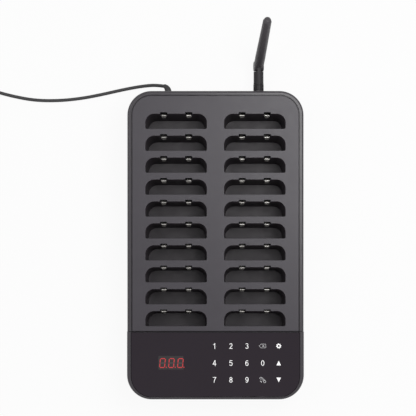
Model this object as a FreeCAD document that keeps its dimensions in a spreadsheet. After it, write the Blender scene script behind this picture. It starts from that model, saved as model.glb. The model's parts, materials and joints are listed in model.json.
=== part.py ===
"""Guest pager system: a counter-top base with twenty charging pockets for guest pagers.

Every sub-part is an object of one document. Driving sizes are cells of one sheet, in millimetres and
degrees. Sub-parts are modelled about the middle of the case, X to the right, Y to the rear and Z up from
the table, and case_shift then puts the middle of the whole object, antenna included, over the origin.
"""
import FreeCAD, Part
import math
import os
import re
import Sketcher

doc = FreeCAD.newDocument("guest_pager_system")

# ---------------------------------------------------------------- driving sizes
driving = {
    # case
    "case_length": 287.1,
    "case_width": 164.0,
    "case_height": 48.0,
    "rear_corner": 22.4,
    "front_corner": 22.8,
    "case_wall": 3.6,
    "foot_lift": 1.5,
    "floor_thickness": 2.5,
    "bottom_round": 3.0,
    "parting_height": 26.0,
    # upper frame and its seam with the front cover
    "rim_width": 3.65,
    "rim_round": 1.3,
    "groove_width": 0.7,
    "ledge_width": 2.5,
    "ledge_thickness": 1.5,
    "cover_length": 63.25,
    "seam_gap": 0.5,
    "cover_proud": 0.3,
    # charging deck
    "deck_drop": 0.4,
    "deck_thickness": 2.6,
    "deck_edge": 0.35,
    "rib_thickness": 1.8,
    "rib_depth": 8.0,
    # slots and pockets
    "row_count": 10,
    "first_row_inset": 28.3,
    "last_row_inset": 12.04,
    "column_spacing": 73.2,
    "slot_width": 57.3,
    "slot_bar": 6.19,
    "slot_rear_corner": 8.2,
    "slot_front_corner": 1.5,
    "slot_lean": 5.0,
    "slot_taper": 1.7,
    "pocket_wall": 1.2,
    "pocket_floor": 1.6,
    "pocket_lift": 0.8,
    # charging contacts and their notches
    "notch_width": 6.5,
    "notch_depth": 1.4,
    "notch_spacing": 23.3,
    "contact_drop": 10.0,
    "contact_rise": 1.5,
    "contact_lip": 0.3,
    "contact_bend": 0.7,
    "contact_width": 4.3,
    "contact_tip_width": 1.4,
    "contact_thickness": 0.4,
    "contact_gap": 0.15,
    "contact_reach": 1.8,
    "tongue_bulge": 4.0,
    "tongue_length": 8.5,
    # boards under the pockets
    "board_thickness": 1.6,
    "board_lift": 1.6,
    "charging_board_width": 62.0,
    "charging_board_front_reach": 7.7,
    "charging_board_rear_reach": 4.75,
    "board_post_radius": 2.7,
    "board_post_reach": 24.0,
    "board_screw_radius": 0.95,
    "board_screw_length": 4.4,
    "board_head_radius": 1.9,
    "board_head_height": 1.3,
    "screw_clearance": 0.1,
    # front cover and keypad
    "panel_side": 3.2,
    "panel_front": 2.0,
    "panel_rear": 0.4,
    "panel_corner": 20.0,
    "panel_thickness": 2.0,
    "panel_gap": 0.15,
    "panel_drop": 0.15,
    "plate_thickness": 2.2,
    "window_left": 58.0,
    "window_right": 66.0,
    "window_front_inset": 12.05,
    "window_rear_inset": 5.7,
    "touch_gap": 1.0,
    "display_x": 40.9,
    "display_to_seam": 29.8,
    "display_width": 23.6,
    "display_length": 13.4,
    "display_height": 7.0,
    "display_gap": 0.3,
    # control board and what is soldered to it
    "control_board_inset": 9.0,
    "control_board_front_inset": 12.0,
    "control_board_rear_inset": 10.7,
    "control_post_side": 3.5,
    "control_post_edge": 3.8,
    "control_post_radius": 3.0,
    "control_screw_radius": 1.0,
    "control_screw_length": 5.5,
    "control_head_radius": 2.25,
    "control_head_height": 1.8,
    "header_x": 10.0,
    "header_to_front": 18.55,
    "header_width": 20.3,
    "header_length": 2.5,
    "chip_size": 10.0,
    "chip_height": 1.5,
    "chip_to_seam": 31.7,
    "radio_x": 55.0,
    "radio_width": 16.0,
    "radio_length": 24.0,
    "radio_height": 3.2,
    "buzzer_x": 52.0,
    "buzzer_to_seam": 39.7,
    "buzzer_radius": 6.0,
    "buzzer_height": 8.5,
    "connector_to_seam": 23.7,
    "connector_width": 8.0,
    "connector_length": 6.0,
    "connector_height": 4.0,
    # case screws and feet
    "case_post_gap": 0.2,
    "case_post_rear_inset": 25.5,
    "case_post_middle": 25.0,
    "case_post_seam_inset": 12.3,
    "cover_post_seam_inset": 5.9,
    "cover_post_x": 50.0,
    "base_post_radius": 5.0,
    "base_post_top": 14.0,
    "case_post_radius": 3.8,
    "case_screw_radius": 1.4,
    "case_screw_length": 19.0,
    "case_head_radius": 2.8,
    "case_head_height": 2.1,
    "head_recess_radius": 3.2,
    "head_recess_depth": 3.0,
    "foot_radius": 6.0,
    "foot_recess": 0.6,
    "foot_inset_x": 18.0,
    "foot_inset_y": 22.0,
    # rear sockets
    "port_height": 16.0,
    "antenna_x": 41.1,
    "jack_barrel_radius": 3.1,
    "jack_hole_gap": 0.2,
    "jack_barrel_reach": 6.8,
    "jack_flange": 4.3,
    "jack_flange_thickness": 2.0,
    "jack_tail_radius": 1.9,
    "jack_tail_length": 4.0,
    "washer_radius": 4.6,
    "washer_thickness": 0.5,
    "nut_radius": 4.4,
    "nut_thickness": 1.7,
    "socket_pin_radius": 0.45,
    "running_gap": 0.08,
    # antenna
    "collar_start": 2.5,
    "collar_length": 5.8,
    "collar_radius": 4.9,
    "collar_end_wall": 0.8,
    "flute_count": 16,
    "flute_depth": 0.4,
    "flute_width": 0.7,
    "neck_radius": 2.1,
    "neck_head_radius": 2.8,
    "neck_head": 0.5,
    "block_gap": 0.2,
    "block_radius": 4.75,
    "block_flat": 4.5,
    "elbow_reach": 25.5,
    "elbow_clear": 5.0,
    "tongue_thickness": 3.0,
    "tongue_radius": 4.2,
    "fork_gap": 0.1,
    "ear_radius": 4.6,
    "elbow_pin_radius": 1.1,
    "pin_fit": 0.03,
    "whip_length": 64.0,
    "whip_root": 14.0,
    "whip_tip_radius": 4.0,
    "elbow_angle": 55.0,
    "swivel_angle": 6.9,
    # power switch
    "switch_bezel_width": 21.0,
    "switch_bezel_height": 15.0,
    "switch_bezel_thickness": 1.8,
    "switch_body_width": 18.8,
    "switch_body_height": 12.6,
    "switch_body_depth": 12.0,
    "switch_gap": 0.2,
    "rocker_radius": 8.6,
    "rocker_height": 10.2,
    "rocker_gap": 0.25,
    "rocker_inset": 3.2,
    "rocker_crown": 3.4,
    "rocker_face": 7.6,
    "rocker_back": 2.5,
    "rocker_tilt": 7.0,
    "rocker_pin_radius": 1.2,
    "rocker_pin_length": 0.5,
    # power jack, plug and cord
    "plug_x": 44.9,
    "tunnel_length": 4.2,
    "tunnel_radius": 6.0,
    "plug_radius": 3.3,
    "plug_gap": 0.4,
    "plug_reach": 1.9,
    "plug_barrel_radius": 2.75,
    "plug_barrel_length": 9.5,
    "plug_bore_radius": 1.1,
    "power_jack_width": 9.0,
    "power_jack_height": 11.0,
    "power_jack_length": 11.6,
    "jack_pin_radius": 1.0,
    "cord_radius": 1.6,
    "boot_middle_radius": 2.9,
    "boot_end_radius": 2.1,
    "coil_x": 235.0,
    "coil_y": 130.0,
    "coil_mean_radius": 18.0,
    "coil_bundle": 9.6,
    # wall adapter
    "adapter_x": 252.5,
    "adapter_y": 40.0,
    "adapter_width": 40.0,
    "adapter_length": 66.0,
    "adapter_height": 29.0,
    "adapter_edge": 1.6,
    "adapter_corner": 5.0,
    "adapter_boot_length": 7.0,
    "blade_spacing": 12.7,
    "blade_thickness": 1.5,
    "blade_width": 6.3,
    "blade_length": 16.0,
    # leads inside the case
    "harness_radius": 1.3,
    "pigtail_radius": 0.9,
    "lead_gap": 2.15,
    "lead_height": 20.0,
}

sizes = doc.addObject("Spreadsheet::Sheet", "sizes")
for row, (name, number) in enumerate(driving.items(), start=1):
    sizes.set(f"A{row}", name)
    sizes.set(f"B{row}", str(number))
    sizes.setAlias(f"B{row}", name)
doc.recompute()

# ---------------------------------------------------------------- sizes worked out from the driving ones
worked_out = {
    "seam_distance": "case_length / 2 - cover_length",
    "first_row": "case_length / 2 - first_row_inset",
    "row_pitch": "(first_row + seam_distance - last_row_inset) / (row_count - 1)",
    "slot_length": "row_pitch - slot_bar",
    "charging_board_front": "seam_distance + charging_board_front_reach",
    "charging_board_rear": "first_row + charging_board_rear_reach",
    "window_front": "case_length / 2 - window_front_inset",
    "window_rear": "seam_distance + window_rear_inset",
    "display_y": "seam_distance + display_to_seam",
    "control_board_half": "case_width / 2 - control_board_inset",
    "control_board_front": "case_length / 2 - control_board_front_inset",
    "control_board_rear": "seam_distance + control_board_rear_inset",
    "control_post_x": "control_board_half - control_post_side",
    "header_y": "case_length / 2 - header_to_front",
    "chip_y": "seam_distance + chip_to_seam",
    "buzzer_y": "seam_distance + buzzer_to_seam",
    "connector_y": "seam_distance + connector_to_seam",
    "case_post_x": "case_width / 2 - case_wall - case_post_gap - case_post_radius",
    "case_post_rear": "case_length / 2 - case_post_rear_inset",
    "case_post_seam": "seam_distance - case_post_seam_inset",
    "cover_post_seam": "seam_distance + cover_post_seam_inset",
    "cover_post_front": "case_length / 2 - case_wall - case_post_gap - case_post_radius",
    "lead_channel_x": "column_spacing / 2 + slot_width / 2 + pocket_wall + lead_gap",
}
deck_top = "(case_height - deck_drop)"
deck_under = f"({deck_top} - deck_thickness)"
base_floor = "(foot_lift + floor_thickness)"
contact_top = f"({deck_top} - contact_drop)"
notch_floor = f"({contact_top} - contact_thickness - contact_rise - contact_gap)"
board_under = f"({base_floor} + board_lift)"
board_top = f"({board_under} + board_thickness)"
pocket_under = f"({board_top} + pocket_lift)"
pocket_inside = f"({pocket_under} + pocket_floor)"
floor_lean = f"(({deck_under} - {pocket_inside}) * tan(slot_lean))"
under_lean = f"(({deck_under} - {pocket_under}) * tan(slot_lean))"
rear_slope = f"(tan(slot_lean) + slot_taper / ({deck_under} - {pocket_inside}))"
board_post_y = "(pocket_wall + slot_length / 2 - 2)"
rear_face = "(case_length / 2)"
rear_inside = f"({rear_face} - case_wall)"
deck_inset = "(rim_width + groove_width)"
ledge_inset = f"({deck_inset} + ledge_width)"
case_front_edge = "(seam_distance - seam_gap / 2)"
cover_rear_edge = "(seam_distance + seam_gap / 2)"
cover_half_width = "(case_width / 2 + cover_proud)"
panel_seat = "(case_height - panel_drop - panel_thickness)"
plate_under = f"({panel_seat} - plate_thickness)"
touch_under = f"({panel_seat} - board_thickness)"
control_top = f"({panel_seat} - display_height)"
control_under = f"({control_top} - board_thickness)"
jack_bore = "(plug_barrel_radius + running_gap)"
tunnel_end = f"({rear_inside} - tunnel_length)"
plug_end = f"({rear_face} + plug_reach)"
rocker_pivot = f"({rear_face} - rocker_inset)"
elbow_y = f"({rear_face} + elbow_reach)"
antenna_reach = f"({elbow_y} + whip_length * cos(elbow_angle) + whip_tip_radius)"
case_shift = f"((case_length / 2 - {antenna_reach}) / 2)"


def bound(expression):
    """The expression as the document reads it, in cells of the sheet only."""

    def spelled(word):
        name = word.group()
        if name in worked_out:
            return f"({bound(worked_out[name])})"
        return f"sizes.{name}" if name in driving else name

    return re.sub(r"[A-Za-z_]\w*", spelled, expression)


def value(expression):
    """The number that an expression of driving sizes stands for."""
    return float(sizes.evalExpression(bound(expression)))


def vector(x, y, z):
    return FreeCAD.Vector(value(x), value(y), value(z))


# ---------------------------------------------------------------- sketch and feature helpers
sub_parts = []


def keep(thing, label):
    """Lists a finished sub-part under its own label."""
    thing.Label = label
    sub_parts.append(thing)
    return thing


def new_body(label, x="0", y="0", z="0"):
    """An empty body whose own origin lies at x, y, z from the middle of the case."""
    body = keep(doc.addObject("PartDesign::Body", label), label)
    body.setExpression("Placement.Base.x", bound(x))
    body.setExpression("Placement.Base.y", bound(f"{case_shift} + {y}"))
    body.setExpression("Placement.Base.z", bound(z))
    return body


def sketch_on(body, role, offset="0"):
    """A sketch on one of the body's own planes, moved along that plane's normal.

    XY_Plane looks along +Z, XZ_Plane along -Y and YZ_Plane along +X.
    """
    plane = next(feature for feature in body.Origin.OriginFeatures if feature.Role == role)
    sketch = body.newObject("Sketcher::SketchObject", f"{body.Name}_sketch")
    sketch.AttachmentSupport = (plane, [""])
    sketch.MapMode = "FlatFace"
    sketch.setExpression("AttachmentOffset.Base.z", bound(offset))
    return sketch


def hold(sketch, constraint, expression, *where):
    """Adds a dimension to a sketch and binds it to the sheet."""
    index = sketch.addConstraint(Sketcher.Constraint(constraint, *where, value(expression)))
    sketch.setExpression(f"Constraints[{index}]", bound(expression))


def add_polygon(sketch, points):
    """A closed outline of straight lines through points given as expressions."""
    corners = [FreeCAD.Vector(value(x), value(y), 0) for x, y in points]
    first = sketch.GeometryCount
    for start, end in zip(corners, corners[1:] + corners[:1]):
        sketch.addGeometry(Part.LineSegment(start, end), False)
    for step, (x, y) in enumerate(points):
        line = first + step
        before = first + (step - 1) % len(points)
        sketch.addConstraint(Sketcher.Constraint("Coincident", before, 2, line, 1))
        hold(sketch, "DistanceX", x, -1, 1, line, 1)
        hold(sketch, "DistanceY", y, -1, 1, line, 1)


def add_rectangle(sketch, left, right, front, rear):
    add_polygon(sketch, [(left, front), (right, front), (right, rear), (left, rear)])


def add_circle(sketch, x, y, radius):
    centre = FreeCAD.Vector(value(x), value(y), 0)
    circle = Part.Circle(centre, FreeCAD.Vector(0, 0, 1), value(radius))
    index = sketch.addGeometry(circle, False)
    hold(sketch, "DistanceX", x, -1, 1, index, 3)
    hold(sketch, "DistanceY", y, -1, 1, index, 3)
    hold(sketch, "Radius", radius, index)


def add_outline(sketch, left, right, front, rear, rear_radius, front_radius=None):
    """A rounded rectangle. Without front_radius its front corners are square."""
    x0, x1, y0, y1 = value(left), value(right), value(front), value(rear)
    back = value(rear_radius) if rear_radius else 0.0
    fore = value(front_radius) if front_radius else 0.0
    first = sketch.GeometryCount
    line_ends = [
        ((x0 + back, y1), (x1 - back, y1)),
        ((x1, y1 - back), (x1, y0 + fore)),
        ((x1 - fore, y0), (x0 + fore, y0)),
        ((x0, y0 + fore), (x0, y1 - back)),
    ]
    for start, end in line_ends:
        sketch.addGeometry(Part.LineSegment(FreeCAD.Vector(*start, 0), FreeCAD.Vector(*end, 0)), False)
    rear_line, right_line, front_line, left_line = range(first, first + 4)
    corners = [
        (x1 - back, y1 - back, back, 0.0, rear_line, right_line),
        (x1 - fore, y0 + fore, fore, -90.0, right_line, front_line),
        (x0 + fore, y0 + fore, fore, 180.0, front_line, left_line),
        (x0 + back, y1 - back, back, 90.0, left_line, rear_line),
    ]
    arcs = []
    for x, y, radius, start_angle, line_in, line_out in corners:
        if not radius:
            sketch.addConstraint(Sketcher.Constraint("Coincident", line_in, 2, line_out, 1))
            continue
        circle = Part.Circle(FreeCAD.Vector(x, y, 0), FreeCAD.Vector(0, 0, 1), radius)
        angles = math.radians(start_angle), math.radians(start_angle + 90.0)
        arc = sketch.addGeometry(Part.ArcOfCircle(circle, *angles), False)
        sketch.addConstraint(Sketcher.Constraint("Tangent", line_in, 2, arc, 2))
        sketch.addConstraint(Sketcher.Constraint("Tangent", arc, 1, line_out, 1))
        arcs.append(arc)
    sketch.addConstraint(Sketcher.Constraint("Horizontal", rear_line))
    sketch.addConstraint(Sketcher.Constraint("Vertical", right_line))
    sketch.addConstraint(Sketcher.Constraint("Horizontal", front_line))
    sketch.addConstraint(Sketcher.Constraint("Vertical", left_line))
    hold(sketch, "DistanceX", left, -1, 1, left_line, 1)
    hold(sketch, "DistanceX", right, -1, 1, right_line, 1)
    hold(sketch, "DistanceY", front, -1, 1, front_line, 1)
    hold(sketch, "DistanceY", rear, -1, 1, rear_line, 1)
    radii = ([rear_radius] if back else []) + ([front_radius] * 2 if fore else [])
    radii += [rear_radius] if back else []
    for arc, radius in zip(arcs, radii):
        hold(sketch, "Radius", radius, arc)


def pad(body, sketch, length, backwards=False, both_ways=False):
    """Adds the sketch's area along its plane's normal, or against it."""
    feature = doc.addObject("PartDesign::Pad", f"{body.Name}_pad")
    return extrude(body, feature, sketch, length, backwards, both_ways, True)


def pocket(body, sketch, depth, backwards=False, both_ways=False):
    """Cuts the sketch's area against its plane's normal, or along it."""
    feature = doc.addObject("PartDesign::Pocket", f"{body.Name}_pocket")
    return extrude(body, feature, sketch, depth, backwards, both_ways, False)


def extrude(body, feature, sketch, length, backwards, both_ways, grows):
    before = body.Shape.Volume if body.Tip else 0.0
    body.addObject(feature)
    feature.Profile = sketch
    feature.Reversed = backwards
    if both_ways:
        feature.SideType = "Symmetric"
    feature.setExpression("Length", bound(length))
    return settle(body, feature, before, grows)


def settle(body, feature, before, grows):
    """Recomputes a new feature and makes sure that it added or removed material."""
    doc.recompute()
    change = body.Shape.Volume - before
    if (change if grows else -change) < 1e-6:
        raise ValueError(f"{feature.Label} changed the volume of {body.Label} by {change:.6f}")
    return feature


def revolve(body, sketch, axis):
    """Turns a sketch once round one of the body's own axes."""
    before = body.Shape.Volume if body.Tip else 0.0
    feature = body.newObject("PartDesign::Revolution", f"{body.Name}_revolution")
    feature.Profile = sketch
    line = next(part for part in body.Origin.OriginFeatures if part.Role == axis)
    feature.ReferenceAxis = (line, [""])
    feature.Angle = 360.0
    return settle(body, feature, before, True)


def loft(body, kind, low, high, grows):
    before = body.Shape.Volume if body.Tip else 0.0
    feature = body.newObject(kind, f"{body.Name}_loft")
    feature.Profile = low
    feature.Sections = [high]
    feature.Ruled = True
    return settle(body, feature, before, grows)


def dress_edges(body, kind, size, chosen):
    """Rounds or bevels the edges that chosen picks."""
    before = body.Shape.Volume
    base = body.Tip
    names = [f"Edge{number}" for number, edge in enumerate(base.Shape.Edges, start=1) if chosen(edge)]
    feature = body.newObject(kind, f"{body.Name}_edge")
    feature.Base = (base, names)
    feature.setExpression("Radius" if kind.endswith("Fillet") else "Size", bound(size))
    return settle(body, feature, before, False)


def level_edges(height):
    """Picks the edges that lie flat at a height."""
    level = value(height)
    return lambda edge: max(abs(edge.BoundBox.ZMin - level), abs(edge.BoundBox.ZMax - level)) < 1e-4


def outer_level_edges(height, half_width):
    """Picks the edges at a height that lie on the outside of the case."""
    level = level_edges(height)
    side, end = value(half_width), value("case_length / 2")

    def chosen(edge):
        middle = edge.valueAt((edge.FirstParameter + edge.LastParameter) / 2)
        on_side = abs(abs(middle.x) - side) < 0.01
        on_end = abs(abs(middle.y) - end) < 0.01
        on_corner = edge.Curve.TypeId == "Part::GeomCircle" and edge.Curve.Radius > value("rear_corner") - 0.5
        return level(edge) and (on_side or on_end or on_corner)

    return chosen


def shape_part(label, shape, x="0", y="0", z="0"):
    """A sub-part whose shape is set in code."""
    feature = doc.addObject("Part::Feature", label)
    feature.Shape = shape
    feature.Placement = FreeCAD.Placement(vector(x, f"{case_shift} + {y}", z), FreeCAD.Rotation())
    return keep(feature, label)


def box_part(label, width, length, height, x, y, z):
    """A block centred on x and y that stands on z."""
    block = keep(doc.addObject("Part::Box", label), label)
    block.setExpression("Length", bound(width))
    block.setExpression("Width", bound(length))
    block.setExpression("Height", bound(height))
    block.setExpression("Placement.Base.x", bound(f"{x} - {width} / 2"))
    block.setExpression("Placement.Base.y", bound(f"{case_shift} + {y} - {length} / 2"))
    block.setExpression("Placement.Base.z", bound(z))
    return block


def both_sides(spots):
    """The spots given for the right side, and their mirror images on the left."""
    return [(f"{sign}{x}", y) for x, y in spots for sign in ("", "-")]


def screw(kind):
    """A pan-head screw that stands on its head, with the underside of its head at z = 0."""
    head_radius, head_height = value(f"{kind}_head_radius"), value(f"{kind}_head_height")
    shank_radius, length = value(f"{kind}_screw_radius"), value(f"{kind}_screw_length")
    head = Part.makeCylinder(head_radius, head_height, FreeCAD.Vector(0, 0, -head_height))
    crown = [edge for edge in head.Edges if abs(edge.BoundBox.ZMax + head_height) < 1e-6]
    head = head.makeChamfer(0.25 * head_height, crown)
    shank = Part.makeCylinder(shank_radius, length)
    return head.fuse(shank).removeSplitter()


def repeated(label, shape, spots, height):
    """One node that holds the same shape at every spot, each a solid of its own."""
    copies = []
    for x, y in spots:
        copy = shape.copy()
        copy.translate(vector(x, y, height))
        copies.append(copy)
    return shape_part(label, Part.makeCompound(copies))


def bent_line(points, bend=None):
    """A line of straight runs joined by arcs of radius bend, or else as large as the runs allow.

    Returns the line and the radii of its arcs.
    """
    corners = [FreeCAD.Vector(*point) for point in points]
    edges = []
    start = corners[0]
    radii = []
    for before, corner, after in zip(corners, corners[1:], corners[2:]):
        way_in = (corner - before).normalize()
        way_out = (after - corner).normalize()
        half_turn = way_in.getAngle(way_out) / 2
        shorter = min(corner.distanceToPoint(before), corner.distanceToPoint(after))
        radius = bend or 0.45 * shorter / math.tan(half_turn)
        radii.append(round(radius, 1))
        set_back = radius * math.tan(half_turn)
        arc_start = corner - way_in * set_back
        arc_end = corner + way_out * set_back
        middle_way = (way_out - way_in).normalize()
        arc_middle = corner + middle_way * (radius / math.cos(half_turn) - radius)
        edges.append(Part.LineSegment(start, arc_start).toShape())
        edges.append(Part.Arc(arc_start, arc_middle, arc_end).toShape())
        start = arc_end
    edges.append(Part.LineSegment(start, corners[-1]).toShape())
    return Part.Wire(edges), radii


def tube(points, radius, label):
    """A round tube along a bent line."""
    corners = [FreeCAD.Vector(*point) for point in points]
    path, bends = bent_line(points)
    section = Part.makeCircle(radius, corners[0], corners[1] - corners[0])
    solid = path.makePipeShell([Part.Wire(section)], True, False)
    ideal = math.pi * radius**2 * path.Length
    share = solid.Volume / ideal
    print(f"{label}: length {path.Length:.1f} mm, volume {share:.4f} of section x length, bends {bends} mm")
    return solid


# ---------------------------------------------------------------- base shell
case_screw_spots = both_sides(
    [
        ("case_post_x", "case_post_rear"),
        ("case_post_x", "case_post_middle"),
        ("case_post_x", "-case_post_seam"),
    ]
)
cover_screw_spots = both_sides(
    [
        ("case_post_x", "-cover_post_seam"),
        ("cover_post_x", "-cover_post_front"),
    ]
)
foot_spots = both_sides(
    [
        ("(case_width / 2 - foot_inset_x)", "(case_length / 2 - foot_inset_y)"),
        ("(case_width / 2 - foot_inset_x)", "-(case_length / 2 - foot_inset_y)"),
    ]
)


def board_screw_spots(side):
    """The four screws of one charging board, between the pockets of the second and ninth rows."""
    rows = [f"(first_row - {row} * row_pitch + {board_post_y})" for row in (1, 8)]
    reach = ["board_post_reach", "-board_post_reach"]
    return [(f"({side}column_spacing / 2 + {x})", y) for x in reach for y in rows]


def make_base_shell():
    body = new_body("base_shell")
    outside = sketch_on(body, "XY_Plane", "foot_lift")
    half = ("-case_width / 2", "case_width / 2", "-case_length / 2", "case_length / 2")
    add_outline(outside, *half, "rear_corner", "front_corner")
    pad(body, outside, "parting_height - foot_lift")
    dress_edges(body, "PartDesign::Fillet", "bottom_round", level_edges("foot_lift"))
    inside = sketch_on(body, "XY_Plane", "parting_height")
    add_outline(
        inside,
        "-(case_width / 2 - case_wall)",
        "case_width / 2 - case_wall",
        "-(case_length / 2 - case_wall)",
        "case_length / 2 - case_wall",
        "rear_corner - case_wall",
        "front_corner - case_wall",
    )
    pocket(body, inside, f"parting_height - {base_floor}")

    posts = sketch_on(body, "XY_Plane", base_floor)
    for x, y in case_screw_spots + cover_screw_spots:
        add_circle(posts, x, y, "base_post_radius")
    pad(body, posts, f"base_post_top - {base_floor}")
    board_spots = board_screw_spots("") + board_screw_spots("-")
    board_posts = sketch_on(body, "XY_Plane", base_floor)
    for x, y in board_spots:
        add_circle(board_posts, x, y, "board_post_radius")
    pad(body, board_posts, "board_lift")
    jack_rest = sketch_on(body, "XY_Plane", base_floor)
    add_rectangle(
        jack_rest,
        "-plug_x - power_jack_width / 2",
        "-plug_x + power_jack_width / 2",
        f"{tunnel_end} - power_jack_length + 1",
        f"{tunnel_end} - 1",
    )
    pad(body, jack_rest, f"port_height - power_jack_height / 2 - {base_floor}")

    tunnel = sketch_on(body, "XZ_Plane", f"-{rear_inside} - 0.5")
    add_circle(tunnel, "-plug_x", "port_height", "tunnel_radius")
    pad(body, tunnel, "tunnel_length + 0.5")

    recesses = sketch_on(body, "XY_Plane", "foot_lift")
    for x, y in foot_spots:
        add_circle(recesses, x, y, "foot_radius + 0.1")
    pocket(body, recesses, "foot_recess", backwards=True)
    screw_heads = sketch_on(body, "XY_Plane", "foot_lift")
    for x, y in case_screw_spots + cover_screw_spots:
        add_circle(screw_heads, x, y, "head_recess_radius")
    pocket(body, screw_heads, "head_recess_depth", backwards=True)
    screw_holes = sketch_on(body, "XY_Plane", "base_post_top")
    for x, y in case_screw_spots + cover_screw_spots:
        add_circle(screw_holes, x, y, "case_screw_radius + 2 * screw_clearance")
    pocket(body, screw_holes, "base_post_top")
    board_holes = sketch_on(body, "XY_Plane", board_under)
    for x, y in board_spots:
        add_circle(board_holes, x, y, "board_screw_radius + screw_clearance")
    pocket(body, board_holes, "board_screw_length - board_thickness + 0.2")

    ports = sketch_on(body, "XZ_Plane", f"-{rear_face}")
    add_circle(ports, "-plug_x", "port_height", "plug_radius + plug_gap")
    add_circle(ports, "antenna_x", "port_height", "jack_barrel_radius + jack_hole_gap")
    add_rectangle(
        ports,
        "-switch_body_width / 2 - switch_gap",
        "switch_body_width / 2 + switch_gap",
        "port_height - switch_body_height / 2 - switch_gap",
        "port_height + switch_body_height / 2 + switch_gap",
    )
    pocket(body, ports, "case_wall + tunnel_length", backwards=True)
    return body


# ---------------------------------------------------------------- upper case frame
def make_upper_frame():
    """A frame open at the front: walls, a rounded rim and a ledge that carries the charging deck."""
    body = new_body("upper_frame")

    def u_outline(height, inset, front):
        sketch = sketch_on(body, "XY_Plane", height)
        side = f"(case_width / 2 - {inset})"
        add_outline(sketch, f"-{side}", side, front, f"case_length / 2 - {inset}", f"rear_corner - {inset}")
        return sketch

    front = f"-{case_front_edge}"
    beyond = f"{front} - 1"
    pad(body, u_outline("parting_height", "0", front), "case_height - parting_height")
    outer = outer_level_edges("case_height", "case_width / 2")
    dress_edges(body, "PartDesign::Fillet", "rim_round", outer)
    pocket(body, u_outline("case_height", "rim_width", beyond), f"case_height - {deck_under}")
    pocket(body, u_outline(deck_under, ledge_inset, f"{front} + ledge_width"), "ledge_thickness")
    ledge_under = f"({deck_under} - ledge_thickness)"
    pocket(body, u_outline(ledge_under, "case_wall", beyond), f"{ledge_under} - parting_height")

    posts = sketch_on(body, "XY_Plane", ledge_under)
    for x, y in case_screw_spots:
        add_circle(posts, x, y, "case_post_radius")
    pad(body, posts, f"{ledge_under} - base_post_top", backwards=True)
    pilots = sketch_on(body, "XY_Plane", "base_post_top")
    for x, y in case_screw_spots:
        add_circle(pilots, x, y, "case_screw_radius + screw_clearance")
    pocket(body, pilots, "case_screw_length - 6", backwards=True)
    return body


# ---------------------------------------------------------------- charging deck
def make_charging_deck():
    """The flat deck with a window and two notches over every pocket."""
    body = new_body("charging_deck")
    plate = sketch_on(body, "XY_Plane", deck_under)
    side = f"(case_width / 2 - {deck_inset})"
    rear = f"(case_length / 2 - {deck_inset})"
    add_outline(plate, f"-{side}", side, f"-{case_front_edge}", rear, f"rear_corner - {deck_inset}")
    pad(body, plate, "deck_thickness")
    dress_edges(body, "PartDesign::Chamfer", "deck_edge", level_edges(deck_top))
    rib = sketch_on(body, "XY_Plane", deck_under)
    add_rectangle(
        rib,
        "-rib_thickness / 2",
        "rib_thickness / 2",
        f"-{case_front_edge} + 2 * ledge_width",
        f"{rear} - 2 * ledge_width",
    )
    pad(body, rib, "rib_depth", backwards=True)

    windows = sketch_on(body, "XY_Plane", deck_top)
    notches = sketch_on(body, "XY_Plane", deck_top)
    for side in ("-", ""):
        centre = f"{side}column_spacing / 2"
        add_outline(
            windows,
            f"{centre} - slot_width / 2",
            f"{centre} + slot_width / 2",
            "first_row - slot_length / 2",
            "first_row + slot_length / 2",
            "slot_rear_corner",
            "slot_front_corner",
        )
        for hand in ("-", "+"):
            middle = f"({centre} {hand} notch_spacing / 2)"
            add_rectangle(
                notches,
                f"{middle} - notch_width / 2",
                f"{middle} + notch_width / 2",
                "first_row",
                "first_row + slot_length / 2 + notch_depth",
            )
    window_cut = pocket(body, windows, "deck_thickness")
    notch_cut = pocket(body, notches, "deck_thickness")
    before = body.Shape.Volume
    rows = body.newObject("PartDesign::LinearPattern", "charging_deck_rows")
    rows.Originals = [window_cut, notch_cut]
    rows.Direction = (next(part for part in body.Origin.OriginFeatures if part.Role == "Y_Axis"), [""])
    rows.Reversed = True
    rows.setExpression("Length", bound("row_pitch * (row_count - 1)"))
    rows.setExpression("Occurrences", bound("row_count"))
    body.Tip = rows
    settle(body, rows, before, False)
    return body


# ---------------------------------------------------------------- pager pockets
def make_first_pocket():
    """A cup that leans back and narrows towards its floor, with two low notches in its rear wall.

    Its own origin lies at the middle of its slot, on the table.
    """
    body = doc.addObject("PartDesign::Body", "pager_pocket_01")
    half = "slot_width / 2"

    def section(height, lean, taper, wall):
        sketch = sketch_on(body, "XY_Plane", height)
        add_outline(
            sketch,
            f"-({half} - {taper} + {wall})",
            f"{half} - {taper} + {wall}",
            f"-slot_length / 2 - {wall} - {lean}",
            f"slot_length / 2 + {wall} - {lean} - {taper}",
            f"slot_rear_corner + {wall}",
            f"slot_front_corner + {wall}",
        )
        return sketch

    outer_top = section(deck_under, "0", "0", "pocket_wall")
    outer_low = section(pocket_under, under_lean, "slot_taper", "pocket_wall")
    loft(body, "PartDesign::AdditiveLoft", outer_low, outer_top, True)
    inner_top = section(deck_under, "0", "0", "0")
    inner_low = section(pocket_inside, floor_lean, "slot_taper", "0")
    loft(body, "PartDesign::SubtractiveLoft", inner_low, inner_top, False)
    notches = sketch_on(body, "XY_Plane", deck_under)
    for hand in ("-", "+"):
        middle = f"({hand}notch_spacing / 2)"
        add_rectangle(
            notches,
            f"{middle} - notch_width / 2",
            f"{middle} + notch_width / 2",
            "slot_length / 2 - 3 * pocket_wall",
            "slot_length / 2 + 2 * pocket_wall",
        )
    pocket(body, notches, f"{deck_under} - {notch_floor}")
    return body


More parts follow.
